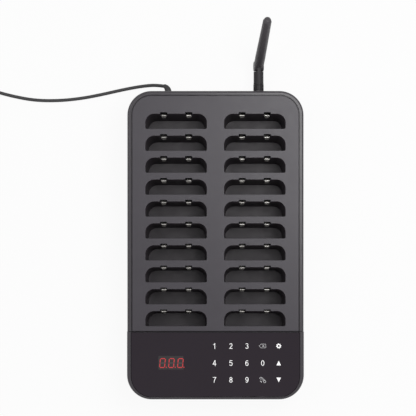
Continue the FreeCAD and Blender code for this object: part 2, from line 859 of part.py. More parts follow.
def make_pockets():
    """Twenty pockets: the left column from the rear, then the right one."""
    first = make_first_pocket()
    for number in range(2 * int(value("row_count"))):
        column, row = divmod(number, int(value("row_count")))
        label = f"pager_pocket_{number + 1:02d}"
        cup = first if number == 0 else doc.addObject("App::Link", label)
        if number:
            cup.LinkedObject = first
        side = "" if column else "-"
        cup.setExpression("Placement.Base.x", bound(f"{side}column_spacing / 2"))
        cup.setExpression("Placement.Base.y", bound(f"{case_shift} + first_row - {row} * row_pitch"))
        keep(cup, label)


# ---------------------------------------------------------------- charging contacts
def contact_strip():
    """A spring strip: it stands on the board, bends over the notch and ends in a tapered tongue.

    Its own origin lies at the middle of its slot in y, on its own middle in x and on the table in z.
    """
    gap, thick = value("contact_gap"), value("contact_thickness")
    top = value(contact_top)
    shoulder = top - value("contact_rise")
    bulge, tip = top - value("tongue_bulge"), top - value("tongue_length")
    board = value(board_top)

    def wall(z):
        """The inner face of the pocket's rear wall at a height."""
        return value("slot_length / 2") - value(rear_slope) * (value(deck_under) - z)

    outside_leg = value("pocket_wall") + gap + thick
    half_width = value("contact_width / 2")
    outline = [
        (-half_width, wall(board) + outside_leg, board),
        (-half_width, wall(shoulder) + outside_leg, shoulder),
        (-half_width, wall(top) - value("contact_lip"), top),
        (-half_width, wall(bulge) - value("contact_reach"), bulge),
        (-half_width, wall(tip) - gap - 2 * thick, tip),
    ]
    line, _ = bent_line(outline, value("contact_bend"))
    side = line.makeOffset2D(-thick, 0, True, True)
    strip = side.extrude(FreeCAD.Vector(2 * half_width, 0, 0))

    root, narrow = top - 2 * value("contact_bend"), value("contact_tip_width / 2")
    corners = [(-half_width, root), (half_width, root), (narrow, tip), (-narrow, tip)]
    corners = [FreeCAD.Vector(x, -value("slot_length"), z) for x, z in corners]
    taper = Part.Face(Part.makePolygon(corners + corners[:1]))
    taper = taper.extrude(FreeCAD.Vector(0, value("slot_length") + wall(bulge), 0))
    below_root = FreeCAD.Vector(-half_width, -value("slot_length"), tip - 1)
    tongue = Part.makeBox(2 * half_width, value("slot_length") + wall(bulge), root - tip + 1, below_root)
    return strip.cut(tongue.cut(taper))


def make_contacts():
    strip = contact_strip()
    for label, side in (("charging_contacts_left", "-"), ("charging_contacts_right", "")):
        spots = [
            (f"{side}column_spacing / 2 {hand} notch_spacing / 2", f"first_row - {row} * row_pitch")
            for row in range(int(value("row_count")))
            for hand in ("-", "+")
        ]
        repeated(label, strip, spots, "0")


# ---------------------------------------------------------------- charging boards
def make_charging_boards():
    for label, side in (("charging_board_left", "-"), ("charging_board_right", "")):
        body = new_body(label)
        middle = f"{side}column_spacing / 2"
        plate = sketch_on(body, "XY_Plane", board_under)
        add_rectangle(
            plate,
            f"{middle} - charging_board_width / 2",
            f"{middle} + charging_board_width / 2",
            "-charging_board_front",
            "charging_board_rear",
        )
        pad(body, plate, "board_thickness")
        holes = sketch_on(body, "XY_Plane", board_top)
        for x, y in board_screw_spots(side):
            add_circle(holes, x, y, "board_screw_radius + 2 * screw_clearance")
        pocket(body, holes, "board_thickness")


# ---------------------------------------------------------------- front cover and keypad
control_post_spots = both_sides(
    [
        ("control_post_x", "-(control_board_rear + control_post_edge)"),
        ("control_post_x", "-(control_board_front - control_post_edge)"),
    ]
)


def make_front_cover():
    """The shell round the keypad: a recess for the panel, a window under it and posts for the board."""
    body = new_body("front_cover")
    side = cover_half_width
    outside = sketch_on(body, "XY_Plane", "parting_height")
    edges = (f"-{side}", side, "-case_length / 2", f"-{cover_rear_edge}")
    add_outline(outside, *edges, None, "front_corner")
    pad(body, outside, "case_height - parting_height")
    outer = outer_level_edges("case_height", side)
    dress_edges(body, "PartDesign::Fillet", "rim_round", outer)
    recess = sketch_on(body, "XY_Plane", "case_height")
    add_outline(
        recess,
        "-(case_width / 2 - panel_side)",
        "case_width / 2 - panel_side",
        "-(case_length / 2 - panel_front)",
        f"-{cover_rear_edge} - panel_rear",
        None,
        "panel_corner",
    )
    pocket(body, recess, f"case_height - {panel_seat}")
    hollow = sketch_on(body, "XY_Plane", plate_under)
    add_outline(
        hollow,
        f"-({side} - case_wall)",
        f"{side} - case_wall",
        "-(case_length / 2 - case_wall)",
        f"-{cover_rear_edge} - case_wall",
        None,
        "front_corner - case_wall",
    )
    pocket(body, hollow, f"{plate_under} - parting_height")
    window = sketch_on(body, "XY_Plane", panel_seat)
    add_rectangle(window, "-window_left", "window_right", "-window_front", "-window_rear")
    pocket(body, window, "plate_thickness")

    case_posts = sketch_on(body, "XY_Plane", plate_under)
    for x, y in cover_screw_spots:
        add_circle(case_posts, x, y, "case_post_radius")
    pad(body, case_posts, f"{plate_under} - base_post_top", backwards=True)
    pilots = sketch_on(body, "XY_Plane", "base_post_top")
    for x, y in cover_screw_spots:
        add_circle(pilots, x, y, "case_screw_radius + screw_clearance")
    pocket(body, pilots, "case_screw_length - 6", backwards=True)
    board_posts = sketch_on(body, "XY_Plane", plate_under)
    for x, y in control_post_spots:
        add_circle(board_posts, x, y, "control_post_radius")
    pad(body, board_posts, f"{plate_under} - {control_top}", backwards=True)
    board_pilots = sketch_on(body, "XY_Plane", control_top)
    for x, y in control_post_spots:
        add_circle(board_pilots, x, y, "control_screw_radius + screw_clearance")
    pocket(body, board_pilots, "control_screw_length - board_thickness + 0.3", backwards=True)
    return body


def make_keypad():
    panel = new_body("keypad_panel")
    sheet = sketch_on(panel, "XY_Plane", panel_seat)
    add_outline(
        sheet,
        "-(case_width / 2 - panel_side - panel_gap)",
        "case_width / 2 - panel_side - panel_gap",
        "-(case_length / 2 - panel_front - panel_gap)",
        f"-{cover_rear_edge} - panel_rear - panel_gap",
        None,
        "panel_corner - panel_gap",
    )
    pad(panel, sheet, "panel_thickness")
    dress_edges(panel, "PartDesign::Chamfer", "deck_edge", level_edges("case_height - panel_drop"))

    touch = new_body("touch_board")
    plate = sketch_on(touch, "XY_Plane", touch_under)
    add_rectangle(
        plate,
        "-window_left + touch_gap",
        "window_right - touch_gap",
        "-window_front + touch_gap",
        "-window_rear - touch_gap",
    )
    pad(touch, plate, "board_thickness")
    opening = sketch_on(touch, "XY_Plane", panel_seat)
    add_rectangle(
        opening,
        "-display_x - display_width / 2 - display_gap",
        "-display_x + display_width / 2 + display_gap",
        "-display_y - display_length / 2 - display_gap",
        "-display_y + display_length / 2 + display_gap",
    )
    pocket(touch, opening, "board_thickness")
    display_spot = ("-display_x", "-display_y", control_top)
    box_part("led_display", "display_width", "display_length", "display_height", *display_spot)


def make_control_board():
    board = new_body("control_board")
    plate = sketch_on(board, "XY_Plane", control_under)
    edges = ("-control_board_half", "control_board_half", "-control_board_front", "-control_board_rear")
    add_rectangle(plate, *edges)
    pad(board, plate, "board_thickness")
    holes = sketch_on(board, "XY_Plane", control_top)
    for x, y in control_post_spots:
        add_circle(holes, x, y, "control_screw_radius + 2 * screw_clearance")
    pocket(board, holes, "board_thickness")

    header_height = f"{touch_under} - {control_top}"
    header_spot = ("header_x", "-header_y", control_top)
    box_part("board_header", "header_width", "header_length", header_height, *header_spot)
    chip_spot = ("0", "-chip_y", f"{control_under} - chip_height")
    box_part("microcontroller", "chip_size", "chip_size", "chip_height", *chip_spot)
    radio_spot = ("radio_x", "-chip_y", f"{control_under} - radio_height")
    box_part("radio_module", "radio_width", "radio_length", "radio_height", *radio_spot)
    connector_spot = ("-lead_channel_x", "-connector_y", f"{control_under} - connector_height")
    connector_size = ("connector_width", "connector_length", "connector_height")
    box_part("harness_connector", *connector_size, *connector_spot)

    buzzer = new_body("buzzer", "-buzzer_x", "-buzzer_y", f"{control_under} - buzzer_height")
    can = sketch_on(buzzer, "XY_Plane")
    add_circle(can, "0", "0", "buzzer_radius")
    pad(buzzer, can, "buzzer_height")
    sound_hole = sketch_on(buzzer, "XY_Plane")
    add_circle(sound_hole, "0", "0", "buzzer_radius / 5")
    pocket(buzzer, sound_hole, "1.5", backwards=True)


# ---------------------------------------------------------------- fasteners and feet
def make_fasteners():
    head_seat = "foot_lift + head_recess_depth"
    repeated("case_screws", screw("case"), case_screw_spots + cover_screw_spots, head_seat)
    repeated("control_board_screws", screw("control"), control_post_spots, control_under)
    board_screw = screw("board")
    board_screw.rotate(FreeCAD.Vector(), FreeCAD.Vector(1, 0, 0), 180)
    repeated("charging_board_screws", board_screw, board_screw_spots("") + board_screw_spots("-"), board_top)
    foot = Part.makeCylinder(value("foot_radius"), value("foot_lift + foot_recess"))
    tread = [edge for edge in foot.Edges if edge.BoundBox.ZMax < 1e-6]
    repeated("rubber_feet", foot.makeChamfer(0.5, tread), foot_spots, "0")


# ---------------------------------------------------------------- antenna jack
def ring(outer, inner, start, length, middle=FreeCAD.Vector()):
    """A round tube along +Y."""
    along = FreeCAD.Vector(0, 1, 0)
    begin = middle + along * start
    return Part.makeCylinder(outer, length, begin, along).cut(Part.makeCylinder(inner, length, begin, along))


def make_antenna_jack():
    """The bulkhead jack: flange and tail inside the wall, threaded barrel, washer and nut outside."""
    jack = new_body("antenna_jack", "antenna_x", rear_face, "port_height")
    half = sketch_on(jack, "XY_Plane")
    inside = "-case_wall"
    flange_back = "-case_wall - jack_flange_thickness"
    add_polygon(
        half,
        [
            ("0", f"{flange_back} - jack_tail_length"),
            ("jack_tail_radius", f"{flange_back} - jack_tail_length"),
            ("jack_tail_radius", flange_back),
            ("jack_flange", flange_back),
            ("jack_flange", inside),
            ("jack_barrel_radius", inside),
            ("jack_barrel_radius", "jack_barrel_reach"),
            ("socket_pin_radius + running_gap", "jack_barrel_reach"),
            ("socket_pin_radius + running_gap", "1"),
            ("0", "1"),
        ],
    )
    revolve(jack, half, "Y_Axis")

    barrel = value("jack_barrel_radius")
    seat = value("washer_thickness")
    washer = ring(value("washer_radius"), barrel + 0.1, 0, seat)
    shape_part("jack_washer", washer, "antenna_x", rear_face, "port_height")
    along = FreeCAD.Vector(0, 1, 0)
    corner = value("nut_radius")
    turns = [math.radians(60 * number) for number in range(6)]
    hexagon = [FreeCAD.Vector(corner * math.cos(turn), seat, corner * math.sin(turn)) for turn in turns]
    prism = Part.Face(Part.makePolygon(hexagon + hexagon[:1])).extrude(along * value("nut_thickness"))
    bore = Part.makeCylinder(barrel + 0.05, 3 * value("nut_thickness"), FreeCAD.Vector(0, 0, 0), along)
    shape_part("jack_nut", prism.cut(bore), "antenna_x", rear_face, "port_height")


# ---------------------------------------------------------------- antenna
def make_antenna():
    """Collar, hinge block, pin and whip. Each is modelled along +Y, then turned to its rest pose."""
    collar_end = "(collar_start + collar_length)"
    collar = new_body("antenna_collar", "antenna_x", rear_face, "port_height")
    half = sketch_on(collar, "XY_Plane")
    add_polygon(
        half,
        [
            ("jack_barrel_radius + running_gap", "collar_start"),
            ("collar_radius", "collar_start"),
            ("collar_radius", collar_end),
            ("neck_radius + running_gap", collar_end),
            ("neck_radius + running_gap", f"{collar_end} - collar_end_wall"),
            ("jack_barrel_radius + running_gap", f"{collar_end} - collar_end_wall"),
        ],
    )
    revolve(collar, half, "Y_Axis")
    flute = sketch_on(collar, "XZ_Plane", "-collar_start")
    add_rectangle(
        flute,
        "-flute_width / 2",
        "flute_width / 2",
        "collar_radius - flute_depth",
        "collar_radius + flute_depth",
    )
    first_flute = pocket(collar, flute, "collar_length")
    before = collar.Shape.Volume
    flutes = collar.newObject("PartDesign::PolarPattern", "antenna_collar_flutes")
    flutes.Originals = [first_flute]
    flutes.Axis = (next(part for part in collar.Origin.OriginFeatures if part.Role == "Y_Axis"), [""])
    flutes.Angle = 360.0
    flutes.setExpression("Occurrences", bound("flute_count"))
    collar.Tip = flutes
    settle(collar, flutes, before, False)

    block = new_body("antenna_base", "antenna_x", rear_face, "port_height")
    block_start = f"({collar_end} + block_gap)"
    shoulder = "(elbow_reach - elbow_clear)"
    head_back = f"({collar_end} - collar_end_wall - 0.05)"
    half = sketch_on(block, "XY_Plane")
    add_polygon(
        half,
        [
            ("0", f"{head_back} - neck_head - 2.5"),
            ("socket_pin_radius", f"{head_back} - neck_head - 2.5"),
            ("socket_pin_radius", f"{head_back} - neck_head"),
            ("neck_head_radius", f"{head_back} - neck_head"),
            ("neck_head_radius", head_back),
            ("neck_radius", head_back),
            ("neck_radius", block_start),
            ("block_radius", block_start),
            ("block_radius", shoulder),
            ("0", shoulder),
        ],
    )
    revolve(block, half, "Y_Axis")
    flats = sketch_on(block, "XY_Plane", "0")
    for hand in ("-", ""):
        near, far = f"{hand}block_flat", f"{hand}(block_radius + 1)"
        left, right = (far, near) if hand else (near, far)
        add_rectangle(flats, left, right, f"{block_start} + 1.5", f"{shoulder} + 1")
    pocket(block, flats, "4 * block_radius", both_ways=True)
    tongue = sketch_on(block, "YZ_Plane")
    root = f"({shoulder} - 1)"
    add_rectangle(tongue, root, "elbow_reach", "-tongue_radius", "tongue_radius")
    pad(block, tongue, "tongue_thickness", both_ways=True)
    tongue_end = sketch_on(block, "YZ_Plane")
    add_circle(tongue_end, "elbow_reach", "0", "tongue_radius")
    pad(block, tongue_end, "tongue_thickness", both_ways=True)
    pin_hole = sketch_on(block, "YZ_Plane")
    add_circle(pin_hole, "elbow_reach", "0", "elbow_pin_radius + running_gap")
    pocket(block, pin_hole, "4 * tongue_thickness", both_ways=True)

    whip = new_body("antenna_whip", "antenna_x", elbow_y, "port_height")
    half = sketch_on(whip, "XY_Plane")
    dome = "whip_tip_radius * 0.7071"
    add_polygon(
        half,
        [
            ("0", "0"),
            ("block_radius", "0"),
            ("block_radius", "whip_root"),
            ("whip_tip_radius", "whip_length"),
            (dome, f"whip_length + {dome}"),
            ("0", "whip_length + whip_tip_radius"),
        ],
    )
    revolve(whip, half, "Y_Axis")
    ears = sketch_on(whip, "YZ_Plane")
    add_circle(ears, "0", "0", "ear_radius")
    pad(whip, ears, "2 * block_flat", both_ways=True)
    slot = sketch_on(whip, "XY_Plane")
    slot_half = "(tongue_thickness / 2 + fork_gap)"
    add_rectangle(slot, f"-{slot_half}", slot_half, "-ear_radius - 1", "elbow_clear")
    pocket(whip, slot, "4 * block_radius", both_ways=True)
    pin_seat = sketch_on(whip, "YZ_Plane")
    add_circle(pin_seat, "0", "0", "elbow_pin_radius + pin_fit")
    pocket(whip, pin_seat, "4 * block_flat", both_ways=True)

    pin = new_body("antenna_pin", "antenna_x", elbow_y, "port_height")
    section = sketch_on(pin, "YZ_Plane")
    add_circle(section, "0", "0", "elbow_pin_radius")
    pad(pin, section, "2 * block_flat", both_ways=True)
    turn_antenna(block, whip, pin)


def turn_antenna(block, whip, pin):
    """Raises the whip at its elbow, and turns block, pin and whip together about the jack."""
    swivel = FreeCAD.Rotation(FreeCAD.Vector(0, 1, 0), value("swivel_angle"))
    elbow = FreeCAD.Rotation(FreeCAD.Vector(1, 0, 0), value("elbow_angle"))
    for body, turn in ((block, swivel), (pin, swivel), (whip, swivel.multiply(elbow))):
        body.Placement = FreeCAD.Placement(body.Placement.Base, turn)


# ---------------------------------------------------------------- power switch
def make_power_switch():
    """A rocker in its case. The rocker's own origin lies on its pivot."""
    case = new_body("switch_case", "0", rear_face, "port_height")
    bezel = sketch_on(case, "XZ_Plane")
    add_rectangle(
        bezel,
        "-switch_bezel_width / 2",
        "switch_bezel_width / 2",
        "-switch_bezel_height / 2",
        "switch_bezel_height / 2",
    )
    pad(case, bezel, "switch_bezel_thickness", backwards=True)
    dress_edges(
        case,
        "PartDesign::Chamfer",
        "switch_bezel_thickness / 2",
        lambda edge: edge.BoundBox.YMin > value("switch_bezel_thickness") - 1e-4,
    )
    block = sketch_on(case, "XZ_Plane")
    add_rectangle(
        block,
        "-switch_body_width / 2",
        "switch_body_width / 2",
        "-switch_body_height / 2",
        "switch_body_height / 2",
    )
    pad(case, block, "switch_body_depth")
    well = sketch_on(case, "XZ_Plane", "-switch_bezel_thickness")
    add_rectangle(
        well,
        "-rocker_radius - rocker_gap",
        "rocker_radius + rocker_gap",
        "-rocker_height / 2 - rocker_gap",
        "rocker_height / 2 + rocker_gap",
    )
    pocket(case, well, "switch_bezel_thickness + rocker_inset + rocker_back + 2", backwards=True)
    bearings = sketch_on(case, "XY_Plane")
    add_circle(bearings, "0", "-rocker_inset", "rocker_pin_radius + running_gap")
    bearing_span = "rocker_height + 2 * (rocker_gap + rocker_pin_length)"
    pocket(case, bearings, bearing_span, both_ways=True)

    rocker = new_body("switch_rocker", "0", rocker_pivot, "port_height")
    outline = sketch_on(rocker, "XY_Plane")
    rise = "rocker_face * tan(rocker_tilt)"
    add_polygon(
        outline,
        [
            ("-rocker_radius * 0.95", "-rocker_back"),
            ("rocker_radius * 0.95", "-rocker_back"),
            ("rocker_radius", "0"),
            ("rocker_radius * 0.96", "rocker_crown * 0.6"),
            ("rocker_face", f"rocker_crown + {rise}"),
            ("0", "rocker_crown"),
            ("-rocker_face", f"rocker_crown + {rise}"),
            ("-rocker_radius * 0.96", "rocker_crown * 0.6"),
            ("-rocker_radius", "0"),
        ],
    )
    pad(rocker, outline, "rocker_height", both_ways=True)
    pins = sketch_on(rocker, "XY_Plane")
    add_circle(pins, "0", "0", "rocker_pin_radius")
    pad(rocker, pins, "rocker_height + 2 * rocker_gap + rocker_pin_length", both_ways=True)
    tilt = FreeCAD.Rotation(FreeCAD.Vector(0, 0, 1), value("rocker_tilt"))
    rocker.Placement = FreeCAD.Placement(rocker.Placement.Base, tilt)


# ---------------------------------------------------------------- power jack and plug
def make_power_jack():
    jack = new_body("power_jack", "-plug_x", tunnel_end, "port_height")
    face = sketch_on(jack, "XZ_Plane")
    half_width, half_height = "power_jack_width / 2", "power_jack_height / 2"
    add_rectangle(face, f"-{half_width}", half_width, f"-{half_height}", half_height)
    pad(jack, face, "power_jack_length")
    bore = sketch_on(jack, "XZ_Plane")
    add_circle(bore, "0", "0", jack_bore)
    pocket(jack, bore, "plug_barrel_length + 0.4", backwards=True)
    pin = sketch_on(jack, "XZ_Plane", "0.5")
    add_circle(pin, "0", "0", "jack_pin_radius")
    pad(jack, pin, "plug_barrel_length")


def make_plug():
    """The plug's barrel and grip, and a boot that tapers and bends towards the left."""
    along = FreeCAD.Vector(0, 1, 0)
    jack_face, grip_end = vector("-plug_x", tunnel_end, "port_height"), value(plug_end)
    barrel_length, grip_length = value("plug_barrel_length"), grip_end - jack_face.y
    barrel = Part.makeCylinder(value("plug_barrel_radius"), barrel_length, jack_face, along * -1)
    bore = Part.makeCylinder(value("plug_bore_radius"), barrel_length, jack_face, along * -1)
    grip = Part.makeCylinder(value("plug_radius"), grip_length, jack_face, along)
    rings = [
        (jack_face + along * grip_length, along, value("plug_radius")),
        (route_point(boot_middle), FreeCAD.Vector(-0.47, 0.87, -0.12), value("boot_middle_radius")),
        (cord_route()[0], cord_route()[1] - cord_route()[0], value("boot_end_radius")),
    ]
    wires = [Part.Wire(Part.makeCircle(radius, centre, normal)) for centre, normal, radius in rings]
    boot = Part.makeLoft(wires, True, False)
    shape_part("dc_plug", barrel.cut(bore).fuse([grip, boot]).removeSplitter())


# ---------------------------------------------------------------- power cord
# Points of the cord's middle line, from the plug's rear exit: to the left, to the rear and above the table.
boot_middle = (0.6, 4.2, 15.8)
from_plug = [
    (3.3, 6.9, 15.2),
    (11.6, 8.5, 11.4),
    (21.4, 8.5, 6.8),
    (32.4, 7.3, 3.2),
    (46.5, 4.6, 1.75),
    (63.5, 0.6, 1.65),
    (83.5, -3.3, 1.65),
    (105.5, -5.6, 1.65),
    (128.5, -5.4, 1.65),
    (150.5, -1.4, 1.65),
]
# The last points before the coil and the first ones after it, from the coil's middle.
into_coil = [(22.0, 17.0, 1.8), (8.0, 19.2, 3.2)]
out_of_coil = [(-18.6, 4.0, 6.0), (-19.6, -6.0, 6.6), (-19.8, -17.0, 8.6), (-18.8, -29.0, 12.4)]


def route_point(point):
    return vector("-plug_x", rear_face, "0") + FreeCAD.Vector(-point[0], point[1], point[2])


def coil_point(point):
    return vector("-coil_x", "coil_y", "0") + FreeCAD.Vector(*point)


def cord_route():
    return [route_point(point) for point in from_plug] + [coil_point(point) for point in into_coil]


def make_cord():
    radius = value("cord_radius")
    shape_part("power_cord", tube(cord_route(), radius, "power_cord"))
    coil = new_body("cord_coil", "-coil_x", "coil_y", "0")
    section = sketch_on(coil, "XZ_Plane")
    inner, outer = "coil_mean_radius - coil_bundle / 2", "coil_mean_radius + coil_bundle / 2"
    add_outline(section, inner, outer, "0", "coil_bundle", "coil_bundle / 2.4", "coil_bundle / 2.4")
    revolve(coil, section, "Z_Axis")
    boot_tip = "adapter_y + adapter_length / 2 + adapter_boot_length"
    tail_end = vector("-adapter_x", boot_tip, "adapter_height / 2")
    straight = FreeCAD.Vector(0, 10, 0)
    tail = [coil_point(point) for point in out_of_coil] + [tail_end + straight, tail_end]
    shape_part("cord_tail", tube(tail, radius, "cord_tail"))


def make_adapter():
    adapter = new_body("power_adapter", "-adapter_x", "adapter_y", "0")
    outline = sketch_on(adapter, "XY_Plane")
    half_width, half_length = "adapter_width / 2", "adapter_length / 2"
    edges = (f"-{half_width}", half_width, f"-{half_length}", half_length)
    add_outline(outline, *edges, "adapter_corner", "adapter_corner")
    pad(adapter, outline, "adapter_height")
    dress_edges(adapter, "PartDesign::Fillet", "adapter_edge", level_edges("0"))
    dress_edges(adapter, "PartDesign::Fillet", "adapter_edge", level_edges("adapter_height"))
    root = sketch_on(adapter, "XZ_Plane", f"-{half_length}")
    add_circle(root, "0", "adapter_height / 2", "2 * boot_end_radius")
    tip = sketch_on(adapter, "XZ_Plane", f"-({half_length} + adapter_boot_length)")
    add_circle(tip, "0", "adapter_height / 2", "boot_end_radius")
    loft(adapter, "PartDesign::AdditiveLoft", root, tip, True)

    blade = Part.makeBox(value("blade_thickness"), value("blade_length"), value("blade_width"))
    tip_edges = [edge for edge in blade.Edges if edge.BoundBox.YMax < 1e-6 and edge.BoundBox.XLength < 1e-6]
    blade = blade.makeChamfer(0.4 * value("blade_thickness"), tip_edges)
    front = "adapter_y - adapter_length / 2 - blade_length"
    spots = [(f"-adapter_x {hand} blade_spacing / 2 - blade_thickness / 2", front) for hand in ("-", "+")]
    repeated("adapter_pins", blade, spots, "adapter_height / 2 - blade_width / 2")


# ---------------------------------------------------------------- leads inside the case
def make_leads():
    """The switched supply down the left side and the antenna's coaxial lead down the right side."""
    x, z = value("lead_channel_x"), value("lead_height")
    jack_middle = f"{tunnel_end} - power_jack_length / 2"
    jack_side = vector("-plug_x - power_jack_width / 2", jack_middle, "port_height")
    connector = value(control_under) - value("connector_height")
    harness = [
        jack_side,
        jack_side - FreeCAD.Vector(8.6, 0, 0),
        FreeCAD.Vector(-x + 2.8, jack_side.y - 5.0, 18.2),
        FreeCAD.Vector(-x + 0.2, 112.0, z),
        FreeCAD.Vector(-x, 86.0, z),
        FreeCAD.Vector(-x + 0.4, 46.0, z),
        FreeCAD.Vector(-x, 5.0, z),
        FreeCAD.Vector(-x + 0.4, -38.0, z),
        FreeCAD.Vector(-x, -70.0, z + 0.6),
        FreeCAD.Vector(-x, -89.0, z + 3.6),
        FreeCAD.Vector(-x, -98.5, connector - 8.5),
        vector("-lead_channel_x", "-connector_y", f"{control_under} - connector_height - 5"),
        vector("-lead_channel_x", "-connector_y", f"{control_under} - connector_height"),
    ]
    shape_part("power_harness", tube(harness, value("harness_radius"), "power_harness"))
    tail_end = f"{rear_face} - case_wall - jack_flange_thickness - jack_tail_length"
    radio_rear = vector("radio_x + 5", "-chip_y + radio_length / 2", f"{control_under} - radio_height / 2")
    pigtail = [
        vector("antenna_x", tail_end, "port_height"),
        vector("antenna_x", f"{tail_end} - 8", "port_height"),
        FreeCAD.Vector(value("antenna_x") + 9.0, 122.9, 16.4),
        FreeCAD.Vector(x - 7.6, 122.4, 18.0),
        FreeCAD.Vector(x - 1.0, 114.5, 19.6),
        FreeCAD.Vector(x, 98.0, z),
        FreeCAD.Vector(x - 0.4, 60.0, z + 0.3),
        FreeCAD.Vector(x, 20.0, z),
        FreeCAD.Vector(x - 0.4, -20.0, z + 0.2),
        FreeCAD.Vector(x, -56.0, z),
        FreeCAD.Vector(x - 1.1, -84.0, z + 2.5),
        FreeCAD.Vector(x - 4.6, -91.0, z + 10.0),
        radio_rear + FreeCAD.Vector(0, 3.5, 0),
        radio_rear,
    ]
    shape_part("antenna_pigtail", tube(pigtail, value("pigtail_radius"), "antenna_pigtail"))


# ---------------------------------------------------------------- the whole object
def check_document():
    """Stops at any object that did not build, and at any sub-part without a sound shape."""
    doc.recompute()
    for thing in doc.Objects:
        if "Invalid" in thing.State or "Error" in thing.State:
            raise ValueError(f"{thing.Label} did not build: {thing.State}")
    for thing in sub_parts:
        shape = Part.getShape(thing)
        if shape.isNull() or not shape.isValid():
            raise ValueError(f"{thing.Label} has no sound shape")


def export_sub_parts():
    os.makedirs("parts", exist_ok=True)
    for thing in sub_parts:
        Part.getShape(thing).exportStep(f"parts/{thing.Label}.step")
    print(f"{len(sub_parts)} sub-parts exported, case_shift {value(case_shift):.3f} mm")


make_base_shell()
make_upper_frame()
make_charging_deck()
make_pockets()
make_contacts()
make_charging_boards()
make_front_cover()
make_keypad()
make_control_board()
make_fasteners()
make_antenna_jack()
make_antenna()
make_power_switch()
make_power_jack()
make_plug()
make_cord()
make_adapter()
make_leads()
check_document()
export_sub_parts()
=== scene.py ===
import json
import math

import bpy
from mathutils import Matrix, Vector

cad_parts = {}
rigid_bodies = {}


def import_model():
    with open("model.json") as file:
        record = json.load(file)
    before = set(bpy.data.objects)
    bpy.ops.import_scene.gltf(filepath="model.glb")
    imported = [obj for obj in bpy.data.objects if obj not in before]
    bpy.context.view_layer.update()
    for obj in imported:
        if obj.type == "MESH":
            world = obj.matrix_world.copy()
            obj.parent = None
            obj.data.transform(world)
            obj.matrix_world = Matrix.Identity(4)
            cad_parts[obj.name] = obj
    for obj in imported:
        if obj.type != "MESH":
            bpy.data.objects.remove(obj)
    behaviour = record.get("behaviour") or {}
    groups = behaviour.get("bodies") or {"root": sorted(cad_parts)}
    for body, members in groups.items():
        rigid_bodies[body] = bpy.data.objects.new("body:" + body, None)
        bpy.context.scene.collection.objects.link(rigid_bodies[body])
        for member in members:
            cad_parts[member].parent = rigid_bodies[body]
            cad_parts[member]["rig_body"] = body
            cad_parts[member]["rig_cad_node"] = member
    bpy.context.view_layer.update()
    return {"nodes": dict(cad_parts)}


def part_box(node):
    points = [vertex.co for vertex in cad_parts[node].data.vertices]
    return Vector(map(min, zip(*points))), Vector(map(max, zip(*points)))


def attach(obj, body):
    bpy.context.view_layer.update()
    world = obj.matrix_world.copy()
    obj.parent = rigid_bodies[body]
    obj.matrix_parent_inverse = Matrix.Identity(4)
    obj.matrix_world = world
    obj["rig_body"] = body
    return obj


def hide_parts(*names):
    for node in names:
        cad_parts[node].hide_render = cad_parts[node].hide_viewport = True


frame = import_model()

mm = 0.001
caseMiddle = Vector((0.0, -33.104, 0.0)) * mm        # the middle of the case, on the counter
nodes = frame["nodes"]


# everyday steps

meshCare = {
    "mergeWithin": 0.002,                            # millimetres
    "flatWithin": 0.3,                               # degrees
    "sameSpot": 1e-6,
    "nearEdge": 0.98,                                # share of the way out that counts as the edge
}


def selectNone():
    if bpy.context.mode != "OBJECT":
        bpy.ops.object.mode_set(mode="OBJECT")
    bpy.ops.object.select_all(action="DESELECT")


def pick(*things):
    selectNone()
    for thing in things:
        thing.select_set(True)
    bpy.context.view_layer.objects.active = things[0]


def applyPlace(thing):
    pick(thing)
    bpy.ops.object.transform_apply(location=True, rotation=True, scale=True)


def addModifier(thing, kind, **settings):
    pick(thing)
    modifier = thing.modifiers.new(kind, kind)
    for name, value in settings.items():
        setattr(modifier, name, value)
    bpy.ops.object.modifier_apply(modifier=modifier.name)


def chooseFaces(thing, wanted):
    # leaves thing in edit mode with the faces selected whose centre and normal are wanted
    pick(thing)
    bpy.ops.object.mode_set(mode="EDIT")
    bpy.ops.mesh.select_mode(type="FACE")
    bpy.ops.mesh.select_all(action="DESELECT")
    bpy.ops.object.mode_set(mode="OBJECT")
    for face in thing.data.polygons:
        face.select = wanted(face.center, face.normal)
    bpy.ops.object.mode_set(mode="EDIT")


def chooseEdges(thing, wanted):
    # the same for edges, asked by their two ends
    pick(thing)
    bpy.ops.object.mode_set(mode="EDIT")
    bpy.ops.mesh.select_mode(type="EDGE")
    bpy.ops.mesh.select_all(action="DESELECT")
    bpy.ops.object.mode_set(mode="OBJECT")
    points = thing.data.vertices
    for edge in thing.data.edges:
        edge.select = wanted(points[edge.vertices[0]].co, points[edge.vertices[1]].co)
    bpy.ops.object.mode_set(mode="EDIT")


def chooseAll(thing):
    pick(thing)
    bpy.ops.object.mode_set(mode="EDIT")
    bpy.ops.mesh.select_mode(type="FACE")
    bpy.ops.mesh.select_all(action="SELECT")


def joinAll(name, things):
    pick(*things)
    if len(things) > 1:
        bpy.ops.object.join()
    whole = bpy.context.active_object
    whole.name = whole.data.name = name
    return whole


def duplicateAt(thing, offset):
    twin = thing.copy()
    twin.data = thing.data.copy()
    bpy.context.scene.collection.objects.link(twin)
    twin.data.transform(Matrix.Translation(offset))
    return twin


def mergedCopy(nodeName, newName):
    # an editable copy of a CAD node, with its loose triangles merged into whole faces
    piece = nodes[nodeName].copy()
    piece.data = nodes[nodeName].data.copy()
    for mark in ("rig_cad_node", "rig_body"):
        del piece[mark]
    piece.parent = None
    piece.name = piece.data.name = newName
    bpy.context.scene.collection.objects.link(piece)
    pick(piece)
    bpy.ops.mesh.customdata_custom_splitnormals_clear()
    chooseAll(piece)
    bpy.ops.mesh.remove_doubles(threshold=meshCare["mergeWithin"] * mm)
    bpy.ops.mesh.dissolve_limited(angle_limit=math.radians(meshCare["flatWithin"]))
    bpy.ops.object.mode_set(mode="OBJECT")
    return piece


